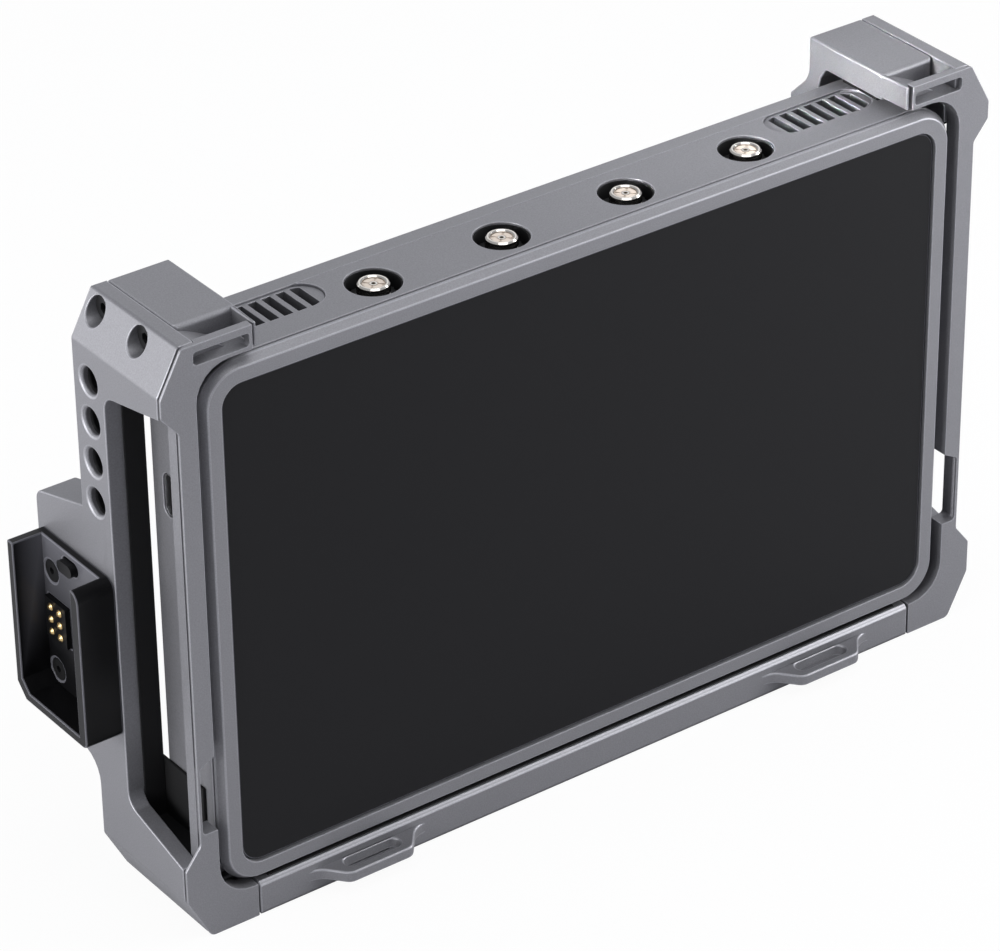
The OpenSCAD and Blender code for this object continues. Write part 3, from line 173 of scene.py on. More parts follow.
@dataclass
class ShadeGroups:
    """Builds the node groups that the finishes share."""

    grain_size: float = 0.00016
    cloud_size: float = 0.02
    groups: dict[Shade, bpy.types.NodeTree] = field(default_factory=dict)

    def build(self) -> "ShadeGroups":
        """Makes every group once and returns this object."""
        self.groups[Shade.BLAST_GRAIN] = self._blast_grain()
        self.groups[Shade.PAINTED_EDGE_HIGHLIGHT] = self._painted_edge_highlight()
        return self

    def _blast_grain(self) -> bpy.types.NodeTree:
        """Makes the grain of a blasted or moulded surface.

        Returns:
            A group with a fine height and a colour with grain and wide soft clouds in it.
        """
        tree = bpy.data.node_groups.new(Shade.BLAST_GRAIN.value, "ShaderNodeTree")
        face = tree.interface
        colour = face.new_socket("Colour", in_out="INPUT", socket_type="NodeSocketColor")
        colour.default_value = (0.3, 0.3, 0.3, 1)
        for name, value in (("Grain", 0.1), ("Clouds", 0.1), ("Size", 1.0)):
            socket = face.new_socket(name, in_out="INPUT", socket_type="NodeSocketFloat")
            socket.default_value = value
        face.new_socket("Colour", in_out="OUTPUT", socket_type="NodeSocketColor")
        face.new_socket("Height", in_out="OUTPUT", socket_type="NodeSocketFloat")
        nodes, links = tree.nodes, tree.links
        inp, out = nodes.new("NodeGroupInput"), nodes.new("NodeGroupOutput")
        coords = nodes.new("ShaderNodeTexCoord")
        fine = nodes.new("ShaderNodeTexNoise")
        fine.inputs["Detail"].default_value = 2.0
        cloud = nodes.new("ShaderNodeTexNoise")
        cloud.inputs["Scale"].default_value = 1 / self.cloud_size
        cloud.inputs["Detail"].default_value = 3.0
        scale = _maths(nodes, "DIVIDE", 1 / self.grain_size)
        links.new(inp.outputs["Size"], scale.inputs[1])
        links.new(scale.outputs[0], fine.inputs["Scale"])
        for texture in (fine, cloud):
            links.new(coords.outputs["Object"], texture.inputs["Vector"])
        total = _maths(nodes, "ADD")
        for texture, amount, socket in zip((fine, cloud), ("Grain", "Clouds"), total.inputs):
            centred = _maths(nodes, "SUBTRACT", None, 0.5)
            links.new(texture.outputs["Fac"], centred.inputs[0])
            part = _maths(nodes, "MULTIPLY")
            links.new(centred.outputs[0], part.inputs[0])
            links.new(inp.outputs[amount], part.inputs[1])
            links.new(part.outputs[0], socket)
        _brightened(tree, inp.outputs["Colour"], total.outputs[0], out.inputs["Colour"])
        links.new(fine.outputs["Fac"], out.inputs["Height"])
        return tree

    def _painted_edge_highlight(self) -> bpy.types.NodeTree:
        """Makes the painted highlight of broken edges and of the tray's floor.

        Returns:
            A group that paints a highlight, lightening a colour where an edge or reflection
            attribute is set.
        """
        tree = bpy.data.node_groups.new(Shade.PAINTED_EDGE_HIGHLIGHT.value, "ShaderNodeTree")
        face = tree.interface
        face.new_socket("Colour", in_out="INPUT", socket_type="NodeSocketColor")
        highlight_share = face.new_socket("Lift", in_out="INPUT", socket_type="NodeSocketFloat")
        highlight_share.default_value = 0.3
        face.new_socket("Colour", in_out="OUTPUT", socket_type="NodeSocketColor")
        nodes, links = tree.nodes, tree.links
        inp, out = nodes.new("NodeGroupInput"), nodes.new("NodeGroupOutput")
        both = _maths(nodes, "ADD")
        for name, socket in zip(("edge", "painted_reflection"), both.inputs):
            attribute = nodes.new("ShaderNodeAttribute")
            attribute.attribute_name = name
            links.new(attribute.outputs["Fac"], socket)
        part = _maths(nodes, "MULTIPLY")
        links.new(both.outputs[0], part.inputs[0])
        links.new(inp.outputs["Lift"], part.inputs[1])
        _brightened(tree, inp.outputs["Colour"], part.outputs[0], out.inputs["Colour"])
        return tree


def _maths(nodes: bpy.types.Nodes, operation: str, *values: float | None) -> bpy.types.Node:
    """Makes a Math node.

    Args:
        nodes: The nodes of the tree that it goes in.
        operation: The name of its operation.
        values: Its input values, with None for one that is linked.

    Returns:
        The new node.
    """
    node = nodes.new("ShaderNodeMath")
    node.operation = operation
    for socket, value in zip(node.inputs, values):
        if value is not None:
            socket.default_value = value
    return node


def _brightened(tree: bpy.types.NodeTree, colour: bpy.types.NodeSocket,
                share: bpy.types.NodeSocket, out: bpy.types.NodeSocket) -> None:
    """Links a colour to an output, brighter or darker by a share of itself.

    Args:
        tree: The tree that the nodes go in.
        colour: The socket that gives the colour.
        share: The socket that gives the share.
        out: The socket that takes the result.
    """
    gain = _maths(tree.nodes, "ADD", None, 1.0)
    tree.links.new(share, gain.inputs[0])
    tint = tree.nodes.new("ShaderNodeVectorMath")
    tint.operation = "SCALE"
    tree.links.new(colour, tint.inputs[0])
    tree.links.new(gain.outputs[0], tint.inputs["Scale"])
    tree.links.new(tint.outputs["Vector"], out)


@dataclass(frozen=True)
class Finish:
    """A surface finish with a procedural grain.

    Grain and clouds are shares of the colour that vary, over small and over wide spots, and the
    highlight share is the share by which broken edges are painted lighter, as a highlight.
    """

    name: str
    colour: tuple[float, float, float]
    metallic: float = 0.0
    roughness: float = 0.5
    specular: float = 0.5
    grain: float = 0.0
    clouds: float = 0.0
    grain_size: float = 1.0
    bump: float = 0.0
    highlight_share: float = 0.0

    def build(self, shades: ShadeGroups) -> bpy.types.Material:
        """Makes the material.

        Args:
            shades: The shared node groups.

        Returns:
            The new material.
        """
        material = bpy.data.materials.new(self.name)
        material.use_nodes = True
        nodes, links = material.node_tree.nodes, material.node_tree.links
        shader = nodes["Principled BSDF"]
        shader.inputs["Metallic"].default_value = self.metallic
        shader.inputs["Roughness"].default_value = self.roughness
        shader.inputs["Specular IOR Level"].default_value = self.specular
        shader.inputs["Base Color"].default_value = (*self.colour, 1)
        material.diffuse_color = (*self.colour, 1)
        if self.grain or self.clouds or self.bump:
            grain = nodes.new("ShaderNodeGroup")
            grain.node_tree = shades.groups[Shade.BLAST_GRAIN]
            grain.inputs["Colour"].default_value = (*self.colour, 1)
            grain.inputs["Grain"].default_value = self.grain
            grain.inputs["Clouds"].default_value = self.clouds
            grain.inputs["Size"].default_value = self.grain_size
            tinted = grain.outputs["Colour"]
            # Broken edges get a painted highlight, and so does the tray's floor where its painted
            # reflection is set.
            if self.highlight_share:
                edge = nodes.new("ShaderNodeGroup")
                edge.node_tree = shades.groups[Shade.PAINTED_EDGE_HIGHLIGHT]
                edge.inputs["Lift"].default_value = self.highlight_share
                links.new(tinted, edge.inputs["Colour"])
                tinted = edge.outputs["Colour"]
            links.new(tinted, shader.inputs["Base Color"])
            if self.bump:
                bump = nodes.new("ShaderNodeBump")
                bump.inputs["Strength"].default_value = self.bump
                bump.inputs["Distance"].default_value = GRAIN_DEPTH
                links.new(grain.outputs["Height"], bump.inputs["Height"])
                links.new(bump.outputs["Normal"], shader.inputs["Normal"])
        return material


FINISHES = {
    # The metal's broken edges get a painted highlight.
    Slot.ANODISED: Finish("blasted_grey_metal", (0.20, 0.20, 0.215), metallic=0.75, grain=0.5,
                          clouds=0.06, grain_size=1.7, bump=0.3, highlight_share=0.35),
    # The glass's broken edge gets a strong painted highlight, the light line round it.
    Slot.GLASS: Finish("cover_glass_black", (0.0065, 0.0065, 0.0075), roughness=0.16,
                       specular=0.12, grain=0.02, highlight_share=16.0),
    Slot.PANEL: Finish("panel_film", (0.006, 0.006, 0.007), roughness=0.3),
    Slot.WHITE: Finish("white_moulding", (0.78, 0.78, 0.78), grain=0.04),
    Slot.BARE: Finish("bare_sheet", (0.45, 0.46, 0.48), metallic=1.0, roughness=0.35, grain=0.1),
    Slot.NICKEL: Finish("nickel_plate", (0.62, 0.59, 0.55), metallic=1.0, roughness=0.16,
                        grain=0.05),
    Slot.CREAM: Finish("cream_insulator", (0.50, 0.43, 0.37), roughness=0.4, grain=0.05),
    Slot.GOLD: Finish("gold_plate", (0.55, 0.40, 0.19), metallic=1.0, roughness=0.3, grain=0.05),
    Slot.BOARD: Finish("solder_mask", (0.02, 0.09, 0.045), roughness=0.35, grain=0.1),
    # The moulding's broken edges get a painted highlight, and the tray's floor a painted reflection.
    Slot.PLASTIC: Finish("black_moulding", (0.003, 0.003, 0.0034), roughness=0.3, specular=0.16,
                         grain=0.25, bump=0.15, grain_size=1.6, highlight_share=26.0),
    Slot.COPPER: Finish("copper_wire", (0.42, 0.16, 0.07), metallic=1.0, roughness=0.35,
                        grain=0.1),
    Slot.STEEL: Finish("plain_steel", (0.5, 0.5, 0.51), metallic=1.0, roughness=0.3, grain=0.08),
    Slot.BLACK_STEEL: Finish("black_screw", (0.02, 0.02, 0.021), metallic=0.6, roughness=0.35,
                             grain=0.1),
    Slot.BRASS: Finish("plain_brass", (0.5, 0.36, 0.14), metallic=1.0, roughness=0.3, grain=0.08),
    Slot.RUBBER: Finish("black_silicone", (0.004, 0.004, 0.0045), roughness=0.7, specular=0.2,
                        grain=0.1),
    Slot.FILM: Finish("amber_film", (0.4, 0.17, 0.04), roughness=0.3, grain=0.05),
}


def refill(mesh: bmesh.types.BMesh) -> None:
    """Fills again, in triangles, each flat face whose own triangles would fold back on it.

    A face whose filled area comes out too different is put back as it was.

    Args:
        mesh: The mesh, which is changed.
    """
    mesh.normal_update()
    strength = mesh.faces.layers.int.get(FACE_STRENGTH)
    folded = {}
    for a, b, c in mesh.calc_loop_triangles():
        turn = (b.vert.co - a.vert.co).cross(c.vert.co - a.vert.co)
        if turn.dot(a.face.normal) < -2.0 * FOLD:
            folded[a.face] = True
    for face in folded:
        normal = face.normal.copy()
        area = face.calc_area()
        corners = face.verts[:]
        edges = face.edges[:]
        bmesh.ops.delete(mesh, geom=[face], context="FACES_ONLY")
        made = bmesh.ops.triangle_fill(mesh, edges=edges, use_beauty=True, normal=normal)["geom"]
        parts = [g for g in made if isinstance(g, bmesh.types.BMFace)]
        for part in parts:
            part[strength] = STRONG
            if part.normal.dot(normal) < 0.0:
                part.normal_flip()
        if abs(sum(part.calc_area() for part in parts) - area) > AREA_SHARE * area:
            seams = [g for g in made if isinstance(g, bmesh.types.BMEdge)]
            bmesh.ops.delete(mesh, geom=parts, context="FACES_ONLY")
            mesh.faces.new(corners).normal_update()
            bmesh.ops.delete(mesh, geom=[e for e in seams if not e.link_faces], context="EDGES")


@dataclass
class Workshop:
    """Holds the frame and the finishes, and puts finished pieces in the scene."""

    frame: dict
    materials: dict[Slot, bpy.types.Material]

    def slot_of(self, node: str) -> Slot:
        """Gives the material slot that the record names for a node."""
        for part in self.frame["record"]["subparts"]:
            if part["node"] == node:
                return Slot(part["material_slot"])
        raise ValueError(node)

    def body_of(self, node: str) -> str:
        """Gives the body that a node rides on."""
        for body, nodes in self.frame["record"]["behaviour"]["bodies"].items():
            if node in nodes:
                return body
        raise ValueError(node)

    def dress(self, node: str) -> None:
        """Gives a solid of the frame its finish and leaves its shape alone."""
        materials = self.frame["nodes"][node].data.materials
        materials.clear()
        materials.append(self.materials[self.slot_of(node)])

    def piece(self, name: str, mesh: bmesh.types.BMesh, slot: Slot, body: str = "root",
              weighted: bool = True) -> bpy.types.Object:
        """Turns a bmesh into a finished piece.

        Args:
            name: The name of the piece.
            mesh: Its shape in metres, which is freed.
            slot: The material slot that it takes its finish from.
            body: The body that it rides on.
            weighted: Whether large faces keep their own normal up to a broken edge.

        Returns:
            The new object.
        """
        for face in mesh.faces:
            face.smooth = True
        for edge in mesh.edges:
            edge.smooth = len(edge.link_faces) == 2 and edge.calc_face_angle() < SMOOTH
        data = bpy.data.meshes.new(name)
        mesh.to_mesh(data)
        mesh.free()
        data.materials.append(self.materials[slot])
        obj = bpy.data.objects.new(name, data)
        bpy.context.scene.collection.objects.link(obj)
        if weighted:
            modifier = obj.modifiers.new("even_faces", "WEIGHTED_NORMAL")
            modifier.keep_sharp = True
            modifier.weight = FACE_WEIGHT
            modifier.use_face_influence = True
        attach(obj, body)
        log.info("piece %s, %d faces", name, len(data.polygons))
        return obj

    def merged(self, node: str) -> bmesh.types.BMesh:
        """Gives a merged copy of a solid's mesh, with its flat faces in one."""
        mesh = bmesh.new()
        mesh.from_mesh(self.frame["nodes"][node].data)
        bmesh.ops.remove_doubles(mesh, verts=mesh.verts[:], dist=MERGE)
        bmesh.ops.dissolve_limit(mesh, angle_limit=FLAT, verts=mesh.verts[:],
                                 edges=mesh.edges[:], use_dissolve_boundaries=False)
        return mesh

    def broken(self, node: str, width: float, segments: int = 2,
               crest: tuple[float, float] | None = None) -> bpy.types.Object:
        """Shows a solid as a copy whose outer edges are broken.

        Args:
            node: The node of the frame.
            width: The width of the broken edge in millimetres.
            segments: The number of strips across the broken edge.
            crest: The X, on either side, and the Z past which edges stay sharp.

        Returns:
            The new object, which stands for the node.
        """
        mesh = self.merged(node)
        turned = [e for e in mesh.edges
                  if len(e.link_faces) == 2 and e.is_convex and e.calc_face_angle() > BREAK]
        if crest:
            x, z = crest[0] * MM, crest[1] * MM
            turned = [e for e in turned if not all(abs(v.co.x) > x and v.co.z > z for v in e.verts)]
        # The bevel's faces are marked in the edge attribute, where the finish paints a highlight.
        layer = mesh.faces.layers.float.new("edge")
        made = bmesh.ops.bevel(mesh, geom=turned, offset=width * MM, offset_type="OFFSET",
                               segments=segments, profile=0.5, affect="EDGES",
                               clamp_overlap=False, loop_slide=True, material=-1,
                               face_strength_mode="NEW")
        for face in made["faces"]:
            face[layer] = 1.0
        strength = mesh.faces.layers.int.get(FACE_STRENGTH)
        for face in set(mesh.faces) - set(made["faces"]):
            if face.calc_area() > LARGE:
                face[strength] = STRONG
        low, high = (Vector(corner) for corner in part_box(node))
        for vert in mesh.verts:
            vert.co = Vector(max(a, min(v, b)) for a, v, b in zip(low, vert.co, high))
        refill(mesh)
        obj = self.piece(f"{node}_shown", mesh, self.slot_of(node), self.body_of(node))
        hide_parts(node)
        return obj


@dataclass(frozen=True)
class Thread:
    """A screw thread as a ridge that winds round an axis, inside a hole or outside a stud.

    The corners are the places along one pitch, from 0 to 1, where its outline turns. The trim is
    the share of the ridge's height that is cut off at its crest and at its root.
    """

    crest: float
    root: float
    pitch: float
    turns: int
    steps: int = 24
    corners: tuple[float, ...] = (0.0, 0.36, 0.5, 0.86, 1.0)
    trim: float = 0.15

    def build(self, start: Vector, axis: Vector) -> bmesh.types.BMesh:
        """Winds the ridge.

        Args:
            start: Where the thread starts on its axis, in millimetres.
            axis: The direction that it runs in.

        Returns:
            The surface of the thread, in metres.
        """
        mesh = bmesh.new()
        across = UP if abs(axis.z) < 0.5 else Vector((0.0, 1.0, 0.0))
        low = self.root + (self.crest - self.root) * self.trim
        high = self.crest - (self.crest - self.root) * self.trim
        shape = zip(self.corners, (low, high, high, low, low))
        verts = [mesh.verts.new((start + axis * (share * self.pitch) + across * radius) * MM)
                 for share, radius in shape]
        edges = [mesh.edges.new(pair) for pair in zip(verts, verts[1:])]
        count = self.steps * self.turns
        bmesh.ops.spin(mesh, geom=verts + edges, cent=start * MM, axis=axis,
                       dvec=axis * (self.pitch / self.steps * MM),
                       angle=math.tau * self.turns, steps=count, use_merge=False)
        bmesh.ops.remove_doubles(mesh, verts=mesh.verts[:], dist=WELD)
        bmesh.ops.recalc_face_normals(mesh, faces=mesh.faces[:])
        return mesh


@dataclass(frozen=True)
class Ring:
    """A flat ring, or the part of one that spans an angle in radians, standing on a centre."""

    inner: float
    outer: float
    height: float
    steps: int = 48
    angle: float = math.tau

    def build(self, centre: Vector, turn: float = 0.0) -> bmesh.types.BMesh:
        """Makes the ring.

        Args:
            centre: The middle of its underside, in millimetres.
            turn: The angle in radians at which it starts.

        Returns:
            The closed ring, in metres.
        """
        mesh = bmesh.new()
        way = Vector((math.cos(turn), math.sin(turn), 0.0))
        up = Vector((0.0, 0.0, self.height))
        corners = (way * self.inner, way * self.outer, way * self.outer + up, way * self.inner + up)
        face = mesh.faces.new([mesh.verts.new((centre + c) * MM) for c in corners])
        whole = self.angle == math.tau
        geom = face.verts[:] + face.edges[:] + ([] if whole else [face])
        bmesh.ops.spin(mesh, geom=geom, cent=centre * MM, axis=(0, 0, 1), angle=self.angle,
                       steps=self.steps, use_merge=False)
        if whole:
            bmesh.ops.delete(mesh, geom=[face], context="FACES_ONLY")
            bmesh.ops.remove_doubles(mesh, verts=mesh.verts[:], dist=WELD)
        bmesh.ops.recalc_face_normals(mesh, faces=mesh.faces[:])
        return mesh


def block(low: tuple[float, float, float], high: tuple[float, float, float],
          edge: float) -> bmesh.types.BMesh:
    """Makes a block with broken edges.

    Args:
        low: Its lowest corner, in millimetres.
        high: Its highest corner.
        edge: The width of the broken edge.

    Returns:
        The block, in metres.
    """
    mesh = bmesh.new()
    size = Vector(high) - Vector(low)
    place = Matrix.Translation((Vector(low) + size / 2) * MM) @ Matrix.Diagonal((*(size * MM), 1.0))
    bmesh.ops.create_cube(mesh, size=1.0, matrix=place)
    bmesh.ops.bevel(mesh, geom=mesh.edges[:], offset=edge * MM, offset_type="OFFSET", segments=2,
                    profile=0.5, affect="EDGES", material=-1)
    return mesh


@dataclass
class Cage:
    """The metal cage round the monitor.

    Past the X and above the Z of the crest, the side plates' edges stay sharp, because the
    screw holes cut into them there. Depths count from the cage's front plane.
    """

    shop: Workshop
    edge: float = 0.4
    plate_edge: float = 0.28
    fine_edge: float = 0.18
    crest: tuple[float, float] = (94.0, 130.0)
    thread: Thread = Thread(crest=2.45, root=2.74, pitch=1.27, turns=5)
    thread_out: float = 98.7
    thread_depth: float = 25.1
    thread_top: float = 114.6
    thread_step: float = 8.73
    thread_count: int = 4
    tripod_turns: int = 4
    tripod_low: float = 0.1
    plate_in: float = 90.95
    # Black blocks beside the monitor and a black strip under it are painted shade in the cage's
    # gaps.
    shade_block_gap: float = 0.03
    shade_block_depth: tuple[float, float] = (6.0, 24.0)
    shade_block_z: tuple[float, float] = (15.0, 29.9)
    shade_block_edge: float = 0.2
    shade_strip_x: float = 80.0
    shade_strip_depth: tuple[float, float] = (1.3, 3.3)
    shade_strip_z: tuple[float, float] = (7.45, 7.8)
    shade_strip_edge: float = 0.1

    def build(self) -> None:
        """Makes every piece of the cage."""
        for node in ("bottom_bar", "left_top_clamp", "right_top_clamp"):
            self.shop.broken(node, self.edge, segments=3)
        for node in ("left_side_plate", "right_side_plate"):
            self.shop.broken(node, self.plate_edge, segments=3, crest=self.crest)
        for node in ("left_front_frame", "right_front_frame"):
            self.shop.broken(node, self.fine_edge)
        for node in ("left_window_liner", "right_window_liner", "clamp_pads", "bar_pads",
                     "clamp_screws", "rear_screws", "frame_screws", "bar_screws", "monitor_screws"):
            self.shop.dress(node)
        self._threads()
        self._shade_blocks()

    def _shade_blocks(self) -> None:
        """Lays black blocks in the gaps beside the monitor and a black strip under it, as painted
        shade.
        """
        low, high = (Vector(corner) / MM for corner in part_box("body_shell"))
        sides = (("left", -self.plate_in, low.x - self.shade_block_gap),
                 ("right", high.x + self.shade_block_gap, self.plate_in))
        for side, near, far in sides:
            pad = block((near, at(self.shade_block_depth[0]), self.shade_block_z[0]),
                        (far, at(self.shade_block_depth[1]), self.shade_block_z[1]), self.shade_block_edge)
            self.shop.piece(f"{side}_side_shade_block", pad, Slot.RUBBER)
        strip = block((-self.shade_strip_x, at(self.shade_strip_depth[0]), self.shade_strip_z[0]),
                      (self.shade_strip_x, at(self.shade_strip_depth[1]), self.shade_strip_z[1]), self.shade_strip_edge)
        self.shop.piece("bar_shade_strip", strip, Slot.RUBBER)

    def _threads(self) -> None:
        """Cuts the threads of the holes in the posts and of the tripod hole."""
        for side, x in (("left", -1.0), ("right", 1.0)):
            for number in range(self.thread_count):
                start = Vector((x * self.thread_out, at(self.thread_depth),
                                self.thread_top - self.thread_step * number))
                mesh = self.thread.build(start, Vector((-x, 0.0, 0.0)))
                self.shop.piece(f"{side}_thread_{number + 1}", mesh, Slot.BLACK_STEEL,
                                weighted=False)
        short = replace(self.thread, turns=self.tripod_turns)
        mesh = short.build(UP * self.tripod_low, UP)
        self.shop.piece("tripod_thread", mesh, Slot.BLACK_STEEL, weighted=False)


@dataclass
class Monitor:
    """The monitor: bezel, shells, glass and what is inside them."""

    shop: Workshop
    edge: float = 0.25
    grille_edge: float = 0.12
    glass_edge: float = 0.22
    plastic_edge: float = 0.3

    def build(self) -> None:
        """Makes every piece of the monitor."""
        for node in ("front_bezel", "body_shell", "rear_shell"):
            self.shop.broken(node, self.edge)
        for node in ("left_vent_grille", "right_vent_grille"):
            self.shop.broken(node, self.grille_edge)
        self.shop.broken("cover_glass", self.glass_edge)
        for node in ("battery_plate", "battery_release", "power_button"):
            self.shop.broken(node, self.plastic_edge)
        for node in ("lcd_panel", "backlight_unit", "display_chassis", "rf_module", "main_board",
                     "heat_sink", "fan_housing", "fan_cover", "fan_stator", "fan_rotor",
                     "board_screws", "speaker", "display_flex", "usb_c_port", "hdmi_ports",
                     "headphone_jack", "power_switch", "shell_screws", "bottom_inserts",
                     "battery_contacts", "battery_latch", "plate_screws"):
            self.shop.dress(node)


@dataclass
class AntennaJacks:
    """The four antenna jacks in the top of the monitor.

    Each drop is how far below the jack's upper end a piece starts.
    """

    shop: Workshop
    thread: Thread = Thread(crest=3.34, root=3.14, pitch=0.706, turns=2)
    well: Ring = Ring(inner=5.3, outer=5.57, height=3.1)
    sleeve: Ring = Ring(inner=0.42, outer=0.78, height=0.3, steps=24)
    pad: Ring = Ring(inner=0.95, outer=2.05, height=0.28, steps=10, angle=math.radians(74.0))
    pads: int = 4
    first_pad: float = 53.0
    thread_drop: float = 2.45
    well_drop: float = 3.6
    face_drop: float = 0.62

    def build(self) -> None:
        """Makes every piece of the jacks."""
        for number, x in enumerate(JACK_X, 1):
            self.shop.dress(f"antenna_jack_{number}")
            self._face(f"antenna_jack_{number}", Vector((x, at(JACK_D), BODY_TOP)))
        for node in ("jack_insulators", "jack_contacts", "jack_nuts"):
            self.shop.dress(node)

    def _face(self, name: str, top: Vector) -> None:
        """Makes what the solids leave out of one jack.

        Args:
            name: The name of the jack.
            top: The middle of its upper end, in millimetres.
        """
        thread = self.thread.build(top - UP * self.thread_drop, UP)
        self.shop.piece(f"{name}_thread", thread, Slot.NICKEL, weighted=False)
        # The well is a black ring that lines the recess wall below the thread and makes the recess
        # darker.
        self.shop.piece(f"{name}_well", self.well.build(top - UP * self.well_drop), Slot.RUBBER)
        face = top - UP * self.face_drop
        self.shop.piece(f"{name}_sleeve", self.sleeve.build(face), Slot.NICKEL)
        for number in range(self.pads):
            turn = math.radians(self.first_pad + 360.0 / self.pads * number)
            self.shop.piece(f"{name}_pad_{number + 1}", self.pad.build(face, turn), Slot.CREAM)


@dataclass
class Dock:
    """The slide-in dock on the left side of the cage.

    The faces of its floor lie at the floor's X, give or take the play, and their normal's X is
    under the facing. A painted reflection on the floor fades downwards from the top, to the power
    of the fall, and is set where the floor is cut, at the heights of the bands.
    """

    shop: Workshop
    edge: float = 0.3
    floor_x: float = -101.12
    floor_play: float = 0.1
    floor_facing: float = -0.99
    top_z: float = 73.4
    fade: float = 26.0
    fall: float = 1.5
    bands: range = range(42, 73, 3)

    def build(self) -> None:
        """Makes every piece of the dock."""
        tray = self.shop.broken("dock_tray", self.edge)
        self._paint_floor_reflection(tray.data)
        for node in ("dock_contact_block", "dock_contacts", "dock_catch", "dock_screws"):
            self.shop.dress(node)

    def _paint_floor_reflection(self, data: bpy.types.Mesh) -> None:
        """Paints a reflection on the floor of the tray, lightest at the top and fading downwards.

        Args:
            data: The mesh of the tray, whose floor is cut into bands along Z.
        """
        mesh = bmesh.new()
        mesh.from_mesh(data)
        floor = [f for f in mesh.faces if f.normal.x < self.floor_facing
                 and abs(f.calc_center_median().x / MM - self.floor_x) < self.floor_play]
        for height in self.bands:
            geom = list(dict.fromkeys(g for f in floor if f.is_valid
                                      for g in (*f.verts, *f.edges, f)))
            cut = bmesh.ops.bisect_plane(mesh, geom=geom, dist=ON_PLANE, plane_no=(0, 0, 1),
                                         plane_co=(0, 0, height * MM))
            floor = [g for g in cut["geom"] if isinstance(g, bmesh.types.BMFace)]
        # Painted reflection: the floor's points get a lighter colour, most at the top.
        layer = mesh.verts.layers.float.new("painted_reflection")
        for vert in {v for f in floor for v in f.verts}:
            share = 1.0 - (self.top_z - vert.co.z / MM) / self.fade
            vert[layer] = max(0.0, min(share, 1.0)) ** self.fall
        mesh.to_mesh(data)
        mesh.free()


@dataclass(frozen=True)
class Softbox:
    """A square studio light that looks at a point of the object.

    Its distance and size are in metres and its power in watts.
    """

    name: str
    azimuth: float
    elevation: float
    distance: float
    size: float
    power: float
    spread: float = 180.0
    aim: tuple[float, float, float] = (0.0, 0.0, 65.0)

    def build(self) -> None:
        """Hangs the light and turns it to the point that it aims at."""
        target = Vector(self.aim) * MM
        data = bpy.data.lights.new(self.name, "AREA")
        data.shape = "SQUARE"
        data.size = self.size
        data.energy = self.power
        data.spread = math.radians(self.spread)
        light = bpy.data.objects.new(self.name, data)
        back = sight(math.radians(self.azimuth), math.radians(self.elevation))
        light.location = target + back * self.distance
        light.rotation_mode = "QUATERNION"
        light.rotation_quaternion = (-back).to_track_quat("-Z", "Y")
        bpy.context.scene.collection.objects.link(light)


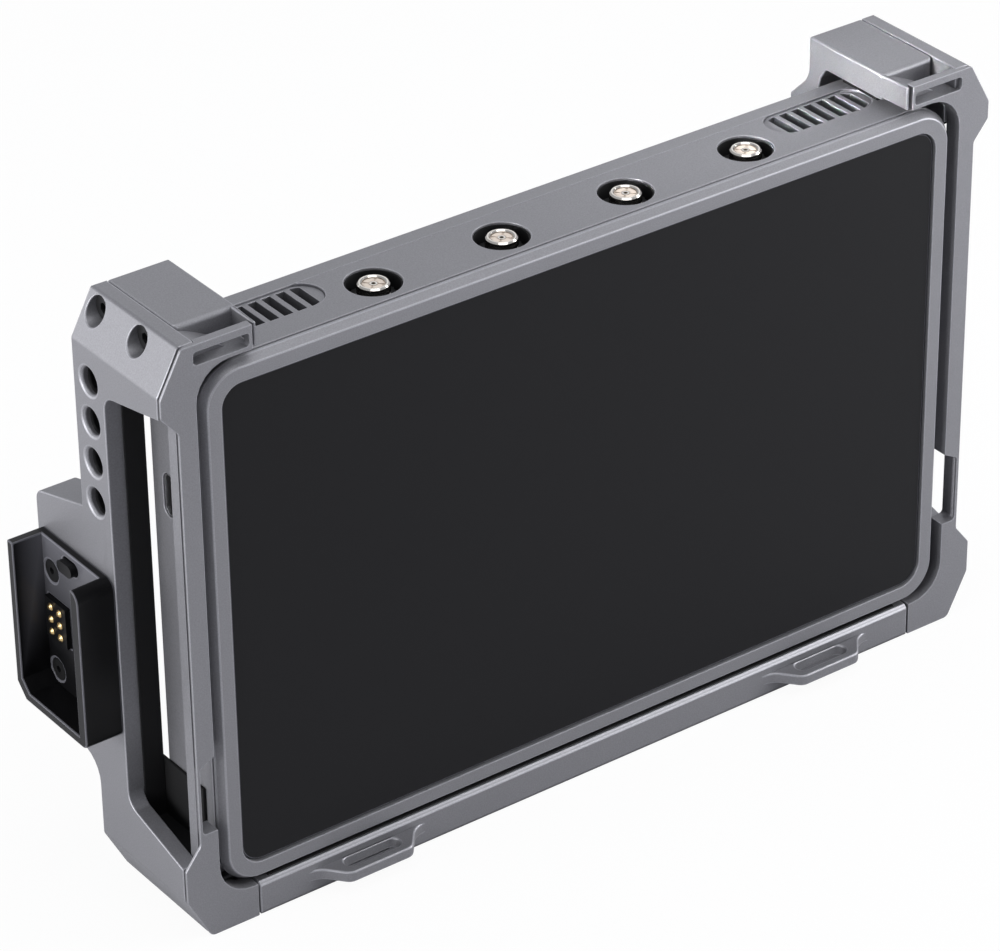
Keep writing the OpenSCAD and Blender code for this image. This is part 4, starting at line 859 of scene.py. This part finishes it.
@dataclass
class Studio:
    """The pale floor, the lights and the camera.

    The target, angles, distance and lens are the camera's. The lens, the sensor and the distance
    are in millimetres, half the floor's side and the clip in metres.
    """

    target: tuple[float, float, float] = (-22.852, -13.97, 77.7)
    azimuth: float = -36.016
    elevation: float = 31.1
    roll: float = -0.738
    distance: float = 910.566
    lens: float = 169.42
    lights: tuple[Softbox, ...] = (
        Softbox("left_box", azimuth=-92.0, elevation=4.0, distance=0.9, size=0.6, power=12.0),
        Softbox("top_box", azimuth=-20.0, elevation=80.0, distance=0.9, size=0.7, power=4.4),
        Softbox("front_box", azimuth=60.0, elevation=20.0, distance=0.6, size=0.4, power=3.8),
        Softbox("rear_left_box", azimuth=-140.0, elevation=6.0, distance=0.9, size=0.6, power=2.6),
        Softbox("rear_right_box", azimuth=144.0, elevation=31.0, distance=1.0, size=0.8, power=1.2),
        Softbox("clamp_card", azimuth=-93.0, elevation=16.0, distance=0.4, size=0.03, power=0.017,
                spread=8.0, aim=(78.0, -4.0, 128.0)),
    )
    surround: float = 0.54
    surround_tint: tuple[float, float, float] = (0.93, 0.95, 1.0)
    floor_half: float = 6.0
    floor_grey: float = 0.6
    floor_blue: float = 1.02
    floor_roughness: float = 0.9
    floor_white: float = 0.94
    sensor: float = 36.0
    clip: tuple[float, float] = (0.05, 20.0)

    def build(self) -> None:
        """Makes the studio."""
        self._world()
        self._floor()
        for light in self.lights:
            light.build()
        self._camera()
        settings = bpy.context.scene.view_settings
        settings.view_transform = "Standard"
        settings.look = "None"

    def _world(self) -> None:
        """Makes a white surround that lights the object less than it shows."""
        world = bpy.data.worlds.new("studio_white")
        bpy.context.scene.world = world
        world.use_nodes = True
        nodes, links = world.node_tree.nodes, world.node_tree.links
        shown = nodes["Background"]
        shown.inputs["Color"].default_value = (1, 1, 1, 1)
        shown.inputs["Strength"].default_value = 1.0
        lit = nodes.new("ShaderNodeBackground")
        lit.inputs["Color"].default_value = (*self.surround_tint, 1)
        lit.inputs["Strength"].default_value = self.surround
        path = nodes.new("ShaderNodeLightPath")
        mix = nodes.new("ShaderNodeMixShader")
        links.new(path.outputs["Is Camera Ray"], mix.inputs["Fac"])
        links.new(lit.outputs["Background"], mix.inputs[1])
        links.new(shown.outputs["Background"], mix.inputs[2])
        links.new(mix.outputs["Shader"], nodes["World Output"].inputs["Surface"])

    def _floor(self) -> None:
        """Makes the pale floor, which the camera sees nearly white and the object less so."""
        mesh = bmesh.new()
        bmesh.ops.create_grid(mesh, x_segments=1, y_segments=1, size=self.floor_half)
        data = bpy.data.meshes.new("pale_floor")
        mesh.to_mesh(data)
        mesh.free()
        material = bpy.data.materials.new("pale_floor")
        material.use_nodes = True
        nodes, links = material.node_tree.nodes, material.node_tree.links
        shader = nodes["Principled BSDF"]
        grey = (self.floor_grey, self.floor_grey, self.floor_grey * self.floor_blue, 1)
        shader.inputs["Base Color"].default_value = grey
        shader.inputs["Roughness"].default_value = self.floor_roughness
        shader.inputs["Specular IOR Level"].default_value = 0.0
        shown = nodes.new("ShaderNodeEmission")
        shown.inputs["Color"].default_value = (1, 1, 1, 1)
        shown.inputs["Strength"].default_value = 1.0
        path = nodes.new("ShaderNodeLightPath")
        share = _maths(nodes, "MULTIPLY", None, self.floor_white)
        links.new(path.outputs["Is Camera Ray"], share.inputs[0])
        mix = nodes.new("ShaderNodeMixShader")
        links.new(share.outputs[0], mix.inputs["Fac"])
        links.new(shader.outputs["BSDF"], mix.inputs[1])
        links.new(shown.outputs["Emission"], mix.inputs[2])
        links.new(mix.outputs["Shader"], nodes["Material Output"].inputs["Surface"])
        data.materials.append(material)
        floor = bpy.data.objects.new("pale_floor", data)
        bpy.context.scene.collection.objects.link(floor)
        floor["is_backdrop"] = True

    def _camera(self) -> None:
        """Makes the camera at the photograph's viewing angle."""
        a, e, r = (math.radians(v) for v in (self.azimuth, self.elevation, self.roll))
        back = sight(a, e)
        right = Vector((math.cos(a), math.sin(a), 0.0))
        up = back.cross(right)
        turned_right = right * math.cos(r) + up * math.sin(r)
        turned_up = up * math.cos(r) - right * math.sin(r)
        data = bpy.data.cameras.new("camera")
        data.sensor_width = self.sensor
        data.lens = self.lens
        data.clip_start, data.clip_end = self.clip
        camera = bpy.data.objects.new("camera", data)
        place = Matrix((turned_right, turned_up, back)).transposed().to_4x4()
        place.translation = Vector(self.target) * MM + back * self.distance * MM
        camera.matrix_world = place
        bpy.context.scene.collection.objects.link(camera)
        bpy.context.scene.camera = camera


def main(frame: dict, solid_box: tuple[Vector, Vector]) -> None:
    """Builds the object and the studio.

    Args:
        solid_box: The box of the solids, which is not used.
    """
    shades = ShadeGroups().build()
    materials = {slot: finish.build(shades) for slot, finish in FINISHES.items()}
    shop = Workshop(frame, materials)
    Cage(shop).build()
    Monitor(shop).build()
    AntennaJacks(shop).build()
    Dock(shop).build()
    Studio().build()


if __name__ == "__main__":
    logging.basicConfig(level=logging.INFO, format="%(name)s: %(message)s")
    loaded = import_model()
    main(loaded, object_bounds())
